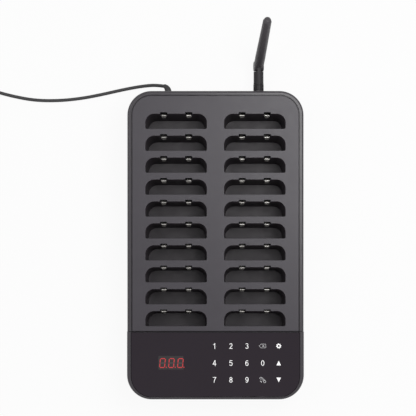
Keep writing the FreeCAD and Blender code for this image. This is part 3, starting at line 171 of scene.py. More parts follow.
def smoothFlat(piece, sharpest=35.0):
    # round edges look round and flat faces stay flat
    pick(piece)
    bpy.ops.object.shade_smooth_by_angle(angle=math.radians(sharpest))
    addModifier(piece, "WEIGHTED_NORMAL", keep_sharp=True, weight=100)


def finishPiece(piece, body, finish):
    piece.data.materials.clear()
    piece.data.materials.append(finish)
    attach(piece, body)


# camera: straight above the case, a long lens

cameraPlace = {"location": (-0.00694, 0.0015, 1.4476), "lens": 130.27, "sensor": 36.0}
bpy.ops.object.camera_add(location=cameraPlace["location"], rotation=(0.0, 0.0, 0.0))
camera = bpy.context.active_object
camera.data.lens = cameraPlace["lens"]
camera.data.sensor_width = cameraPlace["sensor"]
bpy.context.scene.camera = camera
print("camera placed")


# finishes

finishes = {}
noiseSpan = (0.3, 0.7)                               # nearly all values of a noise lie in here
wholeSpan = (0.0, 1.0)


def newFinish(name):
    # gives the node tree of a new material, its shader and the coordinates that its patterns read
    material = bpy.data.materials.new(name)
    material.use_nodes = True
    finishes[name] = material
    tree = material.node_tree
    return tree, tree.nodes["Principled BSDF"], tree.nodes.new("ShaderNodeTexCoord").outputs["Object"]


def addNoise(tree, coordinates, size, detail=2.0, stretch=None):
    noise = tree.nodes.new("ShaderNodeTexNoise")
    noise.inputs["Scale"].default_value = 1.0 / size
    noise.inputs["Detail"].default_value = detail
    if stretch:
        mapping = tree.nodes.new("ShaderNodeMapping")
        mapping.inputs["Scale"].default_value = stretch
        tree.links.new(coordinates, mapping.inputs["Vector"])
        coordinates = mapping.outputs["Vector"]
    tree.links.new(coordinates, noise.inputs["Vector"])
    return noise.outputs["Fac"]


def addRange(tree, source, low, high, span=noiseSpan):
    spread = tree.nodes.new("ShaderNodeMapRange")
    spread.inputs["From Min"].default_value = span[0]
    spread.inputs["From Max"].default_value = span[1]
    spread.inputs["To Min"].default_value = low
    spread.inputs["To Max"].default_value = high
    tree.links.new(source, spread.inputs["Value"])
    return spread.outputs["Result"]


def addRamp(tree, source, lowColour, highColour, span=noiseSpan):
    ramp = tree.nodes.new("ShaderNodeValToRGB")
    for element, position, colour in zip(ramp.color_ramp.elements, span, (lowColour, highColour)):
        element.position = position
        element.color = (*colour, 1.0)
    tree.links.new(source, ramp.inputs["Fac"])
    return ramp.outputs["Color"]


def addBump(tree, shader, height, depth, strength=1.0):
    bump = tree.nodes.new("ShaderNodeBump")
    bump.inputs["Strength"].default_value = strength
    bump.inputs["Distance"].default_value = depth
    tree.links.new(height, bump.inputs["Height"])
    tree.links.new(bump.outputs["Normal"], shader.inputs["Normal"])


def tinted(colour, share):
    return tuple(min(1.0, channel * share) for channel in colour)


def addFinish(name, colour, tone=0.06, toneSize=18.0, rough=0.5, roughSpread=0.05, roughSize=0.4,
              grain=0.35, grainDepth=0.012, metallic=0.0, ior=1.46, gloss=0.5, stretch=None):
    # slow tone changes, fine grain in the surface and a roughness that wanders: sizes in millimetres,
    # and roughSize as a share of toneSize
    tree, shader, place = newFinish(name)
    slow = addNoise(tree, place, toneSize * mm, detail=3.0, stretch=stretch)
    ramp = addRamp(tree, slow, tinted(colour, 1.0 - tone), tinted(colour, 1.0 + tone))
    tree.links.new(ramp, shader.inputs["Base Color"])
    wander = addNoise(tree, place, roughSize * toneSize * mm, stretch=stretch)
    roughness = addRange(tree, wander, rough - roughSpread, rough + roughSpread)
    tree.links.new(roughness, shader.inputs["Roughness"])
    shader.inputs["Metallic"].default_value = metallic
    shader.inputs["IOR"].default_value = ior
    shader.inputs["Specular IOR Level"].default_value = gloss
    fine = addNoise(tree, place, grain * mm, detail=1.0, stretch=stretch)
    addBump(tree, shader, fine, grainDepth * mm)


plasticLooks = {
    "shellPlastic": {"colour": (0.040, 0.035, 0.042), "rough": 0.25, "roughSpread": 0.02,
                     "grainDepth": 0.004},
    "deckPlastic": {"colour": (0.0365, 0.0315, 0.0405), "rough": 0.35, "roughSpread": 0.02, "tone": 0.05},
    "pocketPlastic": {"colour": (0.036, 0.030, 0.036), "rough": 0.5},
    "componentPlastic": {"colour": (0.03, 0.03, 0.031), "rough": 0.45, "toneSize": 3.0, "grain": 0.2},
    "antennaPlastic": {"colour": (0.061, 0.056, 0.062), "rough": 0.42, "toneSize": 8.0, "grain": 0.4},
    "collarPlastic": {"colour": (0.020, 0.018, 0.021), "rough": 0.5, "gloss": 0.3, "toneSize": 4.0,
                      "grain": 0.3},
    "rockerPlastic": {"colour": (0.022, 0.022, 0.024), "rough": 0.3, "toneSize": 5.0, "grain": 0.5},
    "switchPlastic": {"colour": (0.026, 0.026, 0.027), "rough": 0.4, "toneSize": 6.0},
    "footRubber": {"colour": (0.032, 0.031, 0.030), "rough": 0.82, "toneSize": 3.0, "grain": 0.5,
                   "grainDepth": 0.04},
    "adapterPlastic": {"colour": (0.027, 0.027, 0.029), "rough": 0.56, "grain": 0.7, "grainDepth": 0.04},
    "leadJacket": {"colour": (0.030, 0.029, 0.031), "rough": 0.4, "toneSize": 6.0, "grain": 0.25,
                   "grainDepth": 0.006},
    "bootPlastic": {"colour": (0.027, 0.026, 0.028), "rough": 0.5, "toneSize": 3.0},
}
metalLooks = {
    "contactNickel": {"colour": (0.74, 0.72, 0.68), "rough": 0.24, "toneSize": 2.0, "grain": 0.15,
                      "grainDepth": 0.004, "stretch": (1.0, 1.0, 0.15), "metallic": 0.7},
    "screwSteel": {"colour": (0.50, 0.50, 0.51), "rough": 0.34, "toneSize": 1.5, "grain": 0.2,
                   "grainDepth": 0.006},
    "shieldSteel": {"colour": (0.62, 0.62, 0.61), "rough": 0.35, "toneSize": 6.0,
                    "stretch": (1.0, 0.08, 1.0)},
    "jackSteel": {"colour": (0.13, 0.125, 0.13), "rough": 0.38, "toneSize": 2.0, "grain": 0.2,
                  "grainDepth": 0.005, "stretch": (1.0, 6.0, 1.0)},
    "pinSteel": {"colour": (0.42, 0.42, 0.43), "rough": 0.3, "toneSize": 1.5, "grain": 0.2,
                 "grainDepth": 0.005},
    "bladeBrass": {"colour": (0.70, 0.66, 0.56), "rough": 0.28, "toneSize": 4.0, "grain": 0.3,
                   "grainDepth": 0.005, "stretch": (1.0, 0.1, 1.0)},
}
for name, look in plasticLooks.items():
    addFinish(name, **look)
for name, look in metalLooks.items():
    addFinish(name, **{"metallic": 1.0, **look})


panelLook = {
    "colour": (0.0044, 0.0026, 0.0050),
    "tone": (0.9, 1.15),
    "rough": (0.035, 0.10),
    "ior": 1.42,
    "tint": (1.0, 0.86, 1.0),
    "swellSize": 30.0,
    "swellDepth": 0.01,
    "swellStrength": 0.3,
    "wipeSize": 7.5,
    "wipeStretch": (0.25, 1.0, 1.0),
}


def addPanelAcrylic():
    # near-black sheet: sharp gloss, with faint wipe marks in its roughness
    look = panelLook
    tree, shader, place = newFinish("panelAcrylic")
    depth = addNoise(tree, place, look["swellSize"] * mm, detail=3.0)
    ramp = addRamp(tree, depth, *[tinted(look["colour"], share) for share in look["tone"]])
    tree.links.new(ramp, shader.inputs["Base Color"])
    wiped = addNoise(tree, place, look["wipeSize"] * mm, detail=4.0, stretch=look["wipeStretch"])
    tree.links.new(addRange(tree, wiped, *look["rough"]), shader.inputs["Roughness"])
    shader.inputs["IOR"].default_value = look["ior"]
    shader.inputs["Specular Tint"].default_value = (*look["tint"], 1.0)
    swell = addNoise(tree, place, look["swellSize"] * mm, detail=0.0)
    addBump(tree, shader, swell, look["swellDepth"] * mm, look["swellStrength"])


boardLook = {
    "mask": (0.006, 0.060, 0.018),
    "copper": (0.014, 0.115, 0.036),
    "runSize": 2.4,
    "runEdge": (0.42, 0.5),
    "runHeight": 0.03,
    "rough": (0.26, 0.4),
    "roughSize": 4.0,
}


def addBoardLaminate():
    # green solder mask over copper runs, which show as slightly lighter, raised bands
    look = boardLook
    tree, shader, place = newFinish("boardLaminate")
    cells = tree.nodes.new("ShaderNodeTexVoronoi")
    cells.distance = "MANHATTAN"
    cells.inputs["Scale"].default_value = 1.0 / (look["runSize"] * mm)
    tree.links.new(place, cells.inputs["Vector"])
    runs = addRange(tree, cells.outputs["Distance"], 0.0, 1.0, look["runEdge"])
    ramp = addRamp(tree, runs, look["copper"], look["mask"], wholeSpan)
    tree.links.new(ramp, shader.inputs["Base Color"])
    gloss = addNoise(tree, place, look["roughSize"] * mm)
    tree.links.new(addRange(tree, gloss, *look["rough"]), shader.inputs["Roughness"])
    addBump(tree, shader, runs, look["runHeight"] * mm)


def addPrint(name, colour, rough):
    # screen-printed ink, a little uneven in its density
    addFinish(name, colour, tone=0.05, toneSize=1.2, rough=rough, grain=0.12, grainDepth=0.002)


def addGlow(name, colour, strength, patchSize=1.6, dimmest=0.88, rough=0.35):
    # a segment or a legend lit from behind: patches of it are a little dimmer
    tree, shader, place = newFinish(name)
    patch = addNoise(tree, place, patchSize * mm, detail=1.0)
    ramp = addRamp(tree, patch, tinted(colour, dimmest), colour)
    tree.links.new(ramp, shader.inputs["Emission Color"])
    tree.links.new(ramp, shader.inputs["Base Color"])
    shader.inputs["Emission Strength"].default_value = strength
    shader.inputs["Roughness"].default_value = rough


addPanelAcrylic()
addBoardLaminate()
addPrint("displayTint", (0.016, 0.0135, 0.015), 0.25)
addPrint("unlitSegment", (0.055, 0.045, 0.047), 0.4)
addPrint("markWhite", (0.55, 0.55, 0.55), 0.5)
addGlow("litSegment", (0.42, 0.020, 0.026), 0.46)
addGlow("legendWhite", (0.80, 0.80, 0.80), 0.6)
addGlow("legendGrey", (0.55, 0.55, 0.56), 0.25)
print("finishes made:", len(finishes))


# power lead: one smooth line from the plug's boot to the wall adapter, most of it wound up as for storage

leadCord = {
    "diameter": 3.2,
    "length": 1200.0,
    "plugRear": (-44.9, 110.446),                    # where the plug leaves the rear wall
    "fromPlug": [                                    # to the left, to the rear, above the counter
        (3.3, 6.9, 15.2), (11.6, 8.3, 11.4), (21.4, 8.0, 6.8), (32.4, 6.7, 3.2), (46.5, 4.0, 1.75),
        (63.5, 0.1, 1.65), (83.5, -3.8, 1.65), (105.5, -6.0, 1.65), (128.5, -5.7, 1.65),
        (150.5, -1.5, 1.65),
    ],
    "coilMiddle": (-235.0, 96.896),
    "intoCoil": [(22.0, 17.0, 1.65)],
    "coilRadius": 18.0,
    "coilStart": 67.4,
    "coilTurns": 8.28,
    "pointsPerTurn": 16,
    "crossing": 0.25,                                # the last part of a turn, in which it changes lanes
    "lanes": [                                       # each turn in the bundle: outwards, above the counter
        (3.2, 1.9), (0.0, 1.9), (-3.2, 1.9), (-3.2, 5.1), (0.0, 5.1), (3.2, 5.1), (0.0, 8.3), (3.2, 8.3),
    ],
    "outOfCoil": [(-20.9, -8.0, 8.6), (-20.3, -21.0, 9.8), (-19.0, -34.0, 12.0), (-17.5, -50.0, 14.5)],
}


def coilTurnPoints():
    lead = leadCord
    last = len(lead["lanes"]) - 1
    points = []
    for step in range(round(lead["coilTurns"] * lead["pointsPerTurn"]) + 1):
        turn, along = divmod(step / lead["pointsPerTurn"], 1.0)
        here = lead["lanes"][min(int(turn), last)]
        after = lead["lanes"][min(int(turn) + 1, last)]
        shift = max(0.0, 1.0 - (1.0 - along) / lead["crossing"])
        outward = here[0] + (after[0] - here[0]) * shift
        height = here[1] + (after[1] - here[1]) * shift
        angle = math.radians(lead["coilStart"] + 360.0 * step / lead["pointsPerTurn"])
        radius = lead["coilRadius"] + outward
        points.append((radius * math.cos(angle), radius * math.sin(angle), height))
    return points


def addLeadCord():
    lead = leadCord
    fromX, fromY = lead["plugRear"]
    coilX, coilY = lead["coilMiddle"]
    route = [(fromX - left, fromY + rear, up) for left, rear, up in lead["fromPlug"]]
    coiled = lead["intoCoil"] + coilTurnPoints() + lead["outOfCoil"]
    route += [(coilX + x, coilY + y, z) for x, y, z in coiled]
    curve = bpy.data.curves.new("leadCord", "CURVE")
    curve.dimensions = "3D"
    curve.bevel_depth = 0.5 * lead["diameter"] * mm
    curve.bevel_resolution = 4
    curve.resolution_u = 5
    curve.use_fill_caps = True
    spline = curve.splines.new("NURBS")
    spline.points.add(len(route) - 1)
    for point, place in zip(spline.points, route):
        point.co = (*(Vector(place) * mm), 1.0)
    spline.order_u = 3
    spline.use_endpoint_u = True
    cord = bpy.data.objects.new("leadCord", curve)
    bpy.context.scene.collection.objects.link(cord)
    return cord, Vector(route[0]) * mm


coilTie = {
    "angle": -58.0,
    "length": 6.0,
    "reach": 10.7,
    "height": 10.25,
    "corner": 2.6,
    "thickness": 0.3,
    "clearance": 0.02,
    "sharpest": 50.0,
}


def addCoilTie():
    # a flat strap round the bundle
    tie = coilTie
    bpy.ops.mesh.primitive_cube_add(size=1.0, location=(0.0, 0.0, 0.0))
    strap = bpy.context.active_object
    strap.scale = Vector((tie["reach"], tie["length"], tie["height"])) * mm
    applyPlace(strap)
    chooseFaces(strap, lambda centre, normal: abs(normal.y) > 0.9)
    bpy.ops.mesh.delete(type="FACE")
    chooseEdges(strap, lambda a, b: abs(a.y - b.y) > 0.5 * tie["length"] * mm)
    bpy.ops.mesh.bevel(offset=tie["corner"] * mm, segments=5)
    bpy.ops.object.mode_set(mode="OBJECT")
    bpy.ops.object.shade_smooth_by_angle(angle=math.radians(tie["sharpest"]))
    addModifier(strap, "SOLIDIFY", thickness=tie["thickness"] * mm, offset=1.0)
    up = 0.5 * tie["height"] + tie["thickness"] + tie["clearance"]
    strap.location = Vector((leadCord["coilRadius"], 0.0, up)) * mm
    applyPlace(strap)
    middle = Vector((*leadCord["coilMiddle"], 0.0)) * mm
    strap.data.transform(Matrix.Translation(middle) @ Matrix.Rotation(math.radians(tie["angle"]), 4, "Z"))
    strap.name = strap.data.name = "coilTie"
    return strap


cord, cordExit = addLeadCord()
tie = addCoilTie()
finishPiece(cord, "base", finishes["leadJacket"])
finishPiece(tie, "base", finishes["bootPlastic"])
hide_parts("power_cord", "cord_coil", "cord_tail")
print("power lead laid")


# finishes of the CAD nodes that stay as they are

nodeFinishes = {
    "pocketPlastic": [f"pager_pocket_{number:02d}" for number in range(1, 21)],
    "panelAcrylic": ["keypad_panel", "led_display"],
    "boardLaminate": ["charging_board_left", "charging_board_right", "control_board", "touch_board"],
    "componentPlastic": ["board_header", "microcontroller", "harness_connector", "power_jack", "buzzer"],
    "shieldSteel": ["radio_module"],
    "contactNickel": ["charging_contacts_left", "charging_contacts_right"],
    "screwSteel": ["case_screws", "control_board_screws", "charging_board_screws"],
    "footRubber": ["rubber_feet"],
    "jackSteel": ["antenna_jack", "jack_washer", "jack_nut"],
    "pinSteel": ["antenna_pin"],
    "switchPlastic": ["switch_case"],
    "rockerPlastic": ["switch_rocker"],
    "leadJacket": ["antenna_pigtail", "power_harness"],
    "bootPlastic": ["dc_plug"],
    "adapterPlastic": ["power_adapter"],
    "bladeBrass": ["adapter_pins"],
}
for finishName, nodeNames in nodeFinishes.items():
    for nodeName in nodeNames:
        nodes[nodeName].data.materials.clear()
        nodes[nodeName].data.materials.append(finishes[finishName])
print("nodes finished:", sum(len(names) for names in nodeFinishes.values()))


# charging deck: the same plate with its sharp edges broken

deckEdge = {"bevel": 0.3, "segments": 2, "sharperThan": 60.0}


def addDeckPlate():
    plate = mergedCopy("charging_deck", "deckPlate")
    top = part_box("charging_deck")[1].z
    addModifier(plate, "BEVEL", width=deckEdge["bevel"] * mm, segments=deckEdge["segments"],
                limit_method="ANGLE", angle_limit=math.radians(deckEdge["sharperThan"]))
    smoothFlat(plate)
    finishPiece(plate, "base", finishes["deckPlastic"])
    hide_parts("charging_deck")
    print("deck plate made, its top", round(top / mm, 2), "mm above the counter")


addDeckPlate()


# case: the same three mouldings, the upper edge rolled over more softly and the parting line broken

caseEdge = {
    "fillet": 1.3,
    "roll": 2.1,
    "parting": 26.0,
    "partingBevel": 0.3,
    "end": 143.55,
    "slack": 0.02,
    "outlineSlack": 0.05,
    "mouldings": {                                   # ends that it reaches: 1 is the rear, -1 the front
        "upper_frame": {"name": "upperFrame", "half": 82.0, "corner": 22.4, "ends": [1.0]},
        "front_cover": {"name": "frontCover", "half": 82.3, "corner": 22.8, "ends": [-1.0]},
        "base_shell": {"name": "baseShell", "half": 82.0, "corner": 22.4, "ends": [1.0, -1.0]},
    },
}


def edgeOf(nodeName, x, y):
    # how far a place is inside the case's outline, and the way in from the nearest edge
    moulding = caseEdge["mouldings"][nodeName]
    half, corner = moulding["half"], moulding["corner"]
    x, y = x - caseMiddle.x / mm, y - caseMiddle.y / mm
    way = Vector((-math.copysign(1.0, x), 0.0, 0.0))
    inside = half - abs(x)
    for facing in moulding["ends"]:
        end = facing * caseEdge["end"]
        across = Vector((x - math.copysign(half - corner, x), y - (end - facing * corner), 0.0))
        if across.x * x > 0.0 and across.y * facing > 0.0:
            return corner - across.length, -across.normalized()
        if abs(end - y) < inside:
            inside, way = abs(end - y), Vector((0.0, -facing, 0.0))
    return inside, way


def rollEdge(piece, nodeName):
    # widens the fillet round the top: each of its points moves in and down by the same share
    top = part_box(nodeName)[1].z / mm
    share = caseEdge["roll"] / caseEdge["fillet"] - 1.0
    reach = caseEdge["fillet"] + caseEdge["slack"]
    for vertex in piece.data.vertices:
        x, y, z = vertex.co / mm
        inside, way = edgeOf(nodeName, x, y)
        if top - z < reach and inside < reach:
            vertex.co += (way * inside * share - Vector((0.0, 0.0, (top - z) * share))) * mm


def addMoulding(nodeName):
    piece = mergedCopy(nodeName, caseEdge["mouldings"][nodeName]["name"])
    if nodeName != "base_shell":
        rollEdge(piece, nodeName)

    def onPartingLine(*ends):
        return all(
            abs(end.z / mm - caseEdge["parting"]) < caseEdge["slack"]
            and abs(edgeOf(nodeName, end.x / mm, end.y / mm)[0]) < caseEdge["outlineSlack"]
            for end in ends
        )

    chooseEdges(piece, onPartingLine)
    bpy.ops.mesh.bevel(offset=caseEdge["partingBevel"] * mm, segments=1)
    bpy.ops.object.mode_set(mode="OBJECT")
    smoothFlat(piece)
    finishPiece(piece, "base", finishes["shellPlastic"])
    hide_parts(nodeName)


for nodeName in caseEdge["mouldings"]:
    addMoulding(nodeName)
print("case mouldings made")


# antenna: its collar, hinge block and whip with smooth round faces

antennaSharpest = 50.0                               # degrees between faces that stay a visible edge
antennaPieces = {                                    # the new piece, its body and its finish
    "antenna_collar": ("antennaCollar", "antenna_collar", "collarPlastic"),
    "antenna_base": ("antennaBlock", "antenna_hinge", "collarPlastic"),
    "antenna_whip": ("antennaWhip", "antenna_whip", "antennaPlastic"),
}
for nodeName, (newName, body, finishName) in antennaPieces.items():
    skin = mergedCopy(nodeName, newName)
    smoothFlat(skin, antennaSharpest)
    finishPiece(skin, body, finishes[finishName])
    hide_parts(nodeName)
print("antenna made")


# keypad legends, printed on the sheet: sizes and places in millimetres from the middle of the case

keypad = {
    "columns": [-0.88, 14.37, 29.25, 43.94, 58.82],
    "rows": [-93.7, -109.6, -125.2],
    "digits": ["123", "456", "789"],
    "zeroSpot": (3, 1),
    "digitHeight": 5.35,
    "digitStroke": 0.61,
    "symbolStroke": 0.42,
    "inkThickness": 0.03,
    "inkLift": 0.018,                                # of a figure's centre line above the sheet
    "panelTop": 47.85,
}


def keySpot(column, row):
    return caseMiddle + Vector((keypad["columns"][column], keypad["rows"][row], keypad["panelTop"])) * mm


def printOn(name, flat, spot):
    # gives a flat shape, made about the origin in millimetres, its ink thickness and its place on the sheet
    flat.data.transform(Matrix.Translation(spot) @ Matrix.Scale(mm, 4))
    chooseAll(flat)
    bpy.ops.mesh.normals_make_consistent(inside=False)
    bpy.ops.object.mode_set(mode="OBJECT")
    if sum(face.normal.z for face in flat.data.polygons) < 0.0:
        flat.data.flip_normals()
    addModifier(flat, "SOLIDIFY", thickness=keypad["inkThickness"] * mm, offset=1.0)
    flat.name = flat.data.name = name
    return flat


def arc(x, y, radiusX, radiusY, start, end, pace=12.0):
    # places along a part of an oval, about as many degrees apart as its pace
    steps = max(2, round(abs(end - start) / pace))
    angles = [math.radians(start + (end - start) * step / steps) for step in range(steps + 1)]
    return [(x + radiusX * math.cos(angle), y + radiusY * math.sin(angle)) for angle in angles]


# centre lines of the figures, one figure being 1 high
figures = {
    "0": [arc(0.0, 0.0, 0.222, 0.42, 0.0, 360.0)],
    "1": [[(0.05, -0.5), (0.05, 0.5)], [(0.05, 0.36), (-0.05, 0.28), (-0.19, 0.22)]],
    "2": [arc(-0.01, 0.19, 0.215, 0.23, 165.0, -28.0) + [(0.03, -0.12), (-0.20, -0.40)],
          [(-0.28, -0.425), (0.29, -0.425)]],
    "3": [arc(-0.02, 0.215, 0.195, 0.205, 155.0, -85.0), arc(-0.02, -0.195, 0.235, 0.225, 85.0, -155.0)],
    "4": [[(0.11, -0.5), (0.11, 0.5)], [(-0.31, -0.19), (0.29, -0.19)], [(0.09, 0.45), (-0.27, -0.17)]],
    "5": [[(-0.20, 0.425), (0.26, 0.425)], [(-0.16, 0.44), (-0.22, 0.02)],
          arc(-0.01, -0.15, 0.24, 0.27, 142.0, -155.0)],
    "6": [arc(0.0, -0.165, 0.222, 0.255, 0.0, 360.0), arc(0.03, 0.0, 0.25, 0.42, 198.0, 48.0)],
    "7": [[(-0.28, 0.425), (0.28, 0.425)], [(0.24, 0.41), (0.08, 0.16), (-0.03, -0.14), (-0.09, -0.5)]],
    "8": [arc(0.0, 0.215, 0.185, 0.205, 0.0, 360.0), arc(0.0, -0.195, 0.225, 0.225, 0.0, 360.0)],
    "9": [arc(0.0, 0.165, 0.222, 0.255, 0.0, 360.0), arc(-0.03, 0.0, 0.25, 0.42, 18.0, -132.0)],
}


def addStrokes(name, strokes, size, width, spot):
    # lines of even width: round tubes along the centre lines, pressed flat to the thickness of the ink
    curve = bpy.data.curves.new(name, "CURVE")
    curve.dimensions = "3D"
    curve.bevel_depth = 0.5 * width
    curve.bevel_resolution = 1
    curve.use_fill_caps = True
    for stroke in strokes:
        closed = (Vector(stroke[0]) - Vector(stroke[-1])).length < meshCare["sameSpot"]
        places = stroke[:-1] if closed else stroke
        spline = curve.splines.new("POLY")
        spline.points.add(len(places) - 1)
        for point, (x, y) in zip(spline.points, places):
            point.co = (x * size, y * size, 0.0, 1.0)
        spline.use_cyclic_u = closed
    drawn = bpy.data.objects.new(name, curve)
    bpy.context.scene.collection.objects.link(drawn)
    pick(drawn)
    bpy.ops.object.convert(target="MESH")
    drawn = bpy.context.active_object
    flatten = Matrix.Diagonal((1.0, 1.0, keypad["inkThickness"] / width, 1.0))
    drawn.data.transform(Matrix.Translation(spot) @ Matrix.Scale(mm, 4) @ flatten)
    return drawn


def addDigit(text, spot):
    raised = spot + Vector((0.0, 0.0, keypad["inkLift"])) * mm
    return addStrokes("digit" + text, figures[text], keypad["digitHeight"], keypad["digitStroke"], raised)


def addDigits():
    digits = [
        addDigit(text, keySpot(column, row))
        for row, line in enumerate(keypad["digits"]) for column, text in enumerate(line)
    ]
    digits.append(addDigit("0", keySpot(*keypad["zeroSpot"])))
    finishPiece(joinAll("keyDigits", digits), "base", finishes["legendWhite"])


icons = {
    "arrows": {
        "width": 4.3,
        "height": 4.3,
        "spots": {1.0: (4, 1), -1.0: (4, 2)},        # 1 points up, -1 down
    },
    "gear": {
        "spot": (4, 0),
        "ring": 1.85,
        "bore": 0.95,
        "teeth": 8,
        "toothShare": 0.5,
        "toothReach": 0.5,
        "pointsPerTooth": 4,
    },
    "eraseKey": {
        "spot": (3, 0),
        "outline": [(-3.3, 0.0), (-1.55, 1.75), (2.5, 1.75), (2.85, 1.4), (2.85, -1.4), (2.5, -1.75),
                    (-1.55, -1.75), (-3.3, 0.0)],
        "cross": [[(-0.2, 0.85), (1.4, -0.85)], [(-0.2, -0.85), (1.4, 0.85)]],
    },
    "handset": {
        "spot": (3, 2),
        "size": 0.9,
        "ear": [(-2.3, 0.75), (-3.2, 1.75), (-2.75, 2.55), (-1.8, 2.75), (-0.8, 2.2)],
        "mouth": arc(2.05, -1.85, 1.15, 1.15, 0.0, 360.0),
        "grip": [[(-0.8, 2.2), (2.9, -1.05)], [(-2.3, 0.75), (-0.95, 1.05), (1.05, -1.25)]],
        "wave": [[(-2.7, -1.2), (-0.95, -2.7)], [(-2.3, -1.05), (-0.75, -2.4)]],
    },
}


def addArrow(facing, spot):
    side, tip = 0.5 * icons["arrows"]["width"], 0.5 * facing * icons["arrows"]["height"]
    bpy.ops.mesh.primitive_circle_add(vertices=3, radius=1.0, fill_type="NGON")
    shape = bpy.context.active_object
    corners = [(0.0, tip), (-side, -tip), (side, -tip)]
    for vertex, (x, y) in zip(shape.data.vertices, corners):
        vertex.co = (x, y, 0.0)
    return printOn("arrow", shape, keySpot(*spot))


def addGear():
    gear = icons["gear"]
    points = gear["pointsPerTooth"] * gear["teeth"]
    bpy.ops.mesh.primitive_circle_add(vertices=points, radius=gear["ring"], fill_type="NGON")
    shape = bpy.context.active_object
    chooseAll(shape)
    bpy.ops.mesh.inset(thickness=gear["ring"] - gear["bore"])
    bpy.ops.mesh.delete(type="FACE")

    def isTooth(a, b):
        middle = 0.5 * (a + b)
        onRim = min(a.length, b.length) > meshCare["nearEdge"] * gear["ring"]
        step = math.degrees(math.atan2(middle.y, middle.x)) * gear["teeth"] / 360.0
        return onRim and step % 1.0 < gear["toothShare"]

    chooseEdges(shape, isTooth)
    reach = 1.0 + gear["toothReach"] / gear["ring"]
    bpy.ops.mesh.extrude_edges_move()
    bpy.ops.transform.resize(value=(reach, reach, 1.0), center_override=(0.0, 0.0, 0.0))
    bpy.ops.object.mode_set(mode="OBJECT")
    return printOn("gear", shape, keySpot(*gear["spot"]))


def addEraseKey():
    erase = icons["eraseKey"]
    strokes = [erase["outline"], *erase["cross"]]
    return addStrokes("eraseKey", strokes, 1.0, keypad["symbolStroke"], keySpot(*erase["spot"]))


def addHandset():
    handset = icons["handset"]
    strokes = [handset["ear"], handset["mouth"], *handset["grip"], *handset["wave"]]
    spot = keySpot(*handset["spot"])
    return addStrokes("handset", strokes, handset["size"], keypad["symbolStroke"], spot)


def addLegends():
    addDigits()
    arrows = [addArrow(facing, spot) for facing, spot in icons["arrows"]["spots"].items()]
    solid = joinAll("keySymbols", [*arrows, addGear()])
    finishPiece(solid, "base", finishes["legendWhite"])
    thin = joinAll("keyOutlines", [addEraseKey(), addHandset()])
    finishPiece(thin, "base", finishes["legendGrey"])


addLegends()
print("keypad printed")


# on and off marks on the switch's rocker, whose two half faces slope down to its middle

rockerMarks = {
    "pivot": (0.0, 107.246, 16.0),
    "tilt": 7.0,                                     # of the whole rocker, and of each half face
    "fromMiddle": 3.9,
    "crown": 3.4,
    "stroke": 0.42,
    "inkLift": 0.018,
    "marks": {                                       # a bar to one side of the pivot, a ring to the other
        -1.0: [[(0.0, -1.5), (0.0, 1.5)]],
        1.0: [arc(0.0, 0.0, 1.5, 1.5, 0.0, 360.0)],
    },
}


def addRockerMarks():
    look = rockerMarks
    lean = math.radians(look["tilt"])
    height = look["crown"] + look["fromMiddle"] * math.tan(lean) + look["inkLift"]
    facingRear = Matrix(((-1.0, 0.0, 0.0), (0.0, 0.0, 1.0), (0.0, 1.0, 0.0))).to_4x4()
    marks = []
    for side, strokes in look["marks"].items():
        mark = addStrokes("mark", strokes, 1.0, look["stroke"], Vector())
        onFace = Matrix.Translation(Vector((side * look["fromMiddle"], height, 0.0)) * mm)
        turned = Matrix.Rotation(lean, 4, "Z") @ onFace @ Matrix.Rotation(side * lean, 4, "Z") @ facingRear
        mark.data.transform(Matrix.Translation(Vector(look["pivot"]) * mm) @ turned)
        marks.append(mark)
    finishPiece(joinAll("rockerMarks", marks), "power_rocker", finishes["markWhite"])


addRockerMarks()
print("switch marked")


# three-digit display that shines through the sheet, drawn on it: millimetres from the middle of the case

display = {
    "middle": (-41.45, -109.3),
    "size": (23.4, 12.7),
    "corner": 0.5,
    "firstLeft": -52.45,
    "bottom": -114.10,
    "digits": 3,
    "pitch": 8.33,
    "digit": (5.5, 9.1),
    "stroke": 0.86,
    "gap": 0.22,
    "slant": 5.5,
    "dotRadius": 0.55,
    "dots": [(-45.75, -113.5), (-37.42, -113.5), (-29.35, -113.5)],
    "rise": 0.03,
}


def addSegment(length, x=0.0, y=0.0, upright=False):
    # a bar with pointed ends, drawn from a plane whose ends are pulled out and closed
    stroke = display["stroke"]
    bpy.ops.mesh.primitive_plane_add(size=1.0)
    bar = bpy.context.active_object
    bar.scale = (length - stroke, stroke, 1.0)
    applyPlace(bar)
    endLine = meshCare["nearEdge"] * 0.5 * (length - stroke)
    for side in (-1.0, 1.0):
        chooseEdges(bar, lambda a, b: min(side * a.x, side * b.x) > endLine)
        bpy.ops.mesh.extrude_edges_move(TRANSFORM_OT_translate={"value": (side * 0.5 * stroke, 0.0, 0.0)})
        bpy.ops.mesh.merge(type="CENTER")
    bpy.ops.object.mode_set(mode="OBJECT")
    turn = math.radians(90.0 if upright else 0.0)
    bar.data.transform(Matrix.Translation((x, y, 0.0)) @ Matrix.Rotation(turn, 4, "Z"))
    return bar


def digitSegments(lit):
    # the six outer segments of a nought, or the seventh in its middle
    width, height = display["digit"]
    stroke, gap = display["stroke"], display["gap"]
    right, top = 0.5 * (width - stroke), 0.5 * (height - stroke)
    acrossLength, uprightLength = 2.0 * (right - gap), top - 2.0 * gap
    if not lit:
        return [addSegment(acrossLength)]
    parts = [addSegment(acrossLength, y=y) for y in (-top, top)]
    for x in (-right, right):
        parts += [addSegment(uprightLength, x, y, upright=True) for y in (-0.5 * top, 0.5 * top)]
    return parts


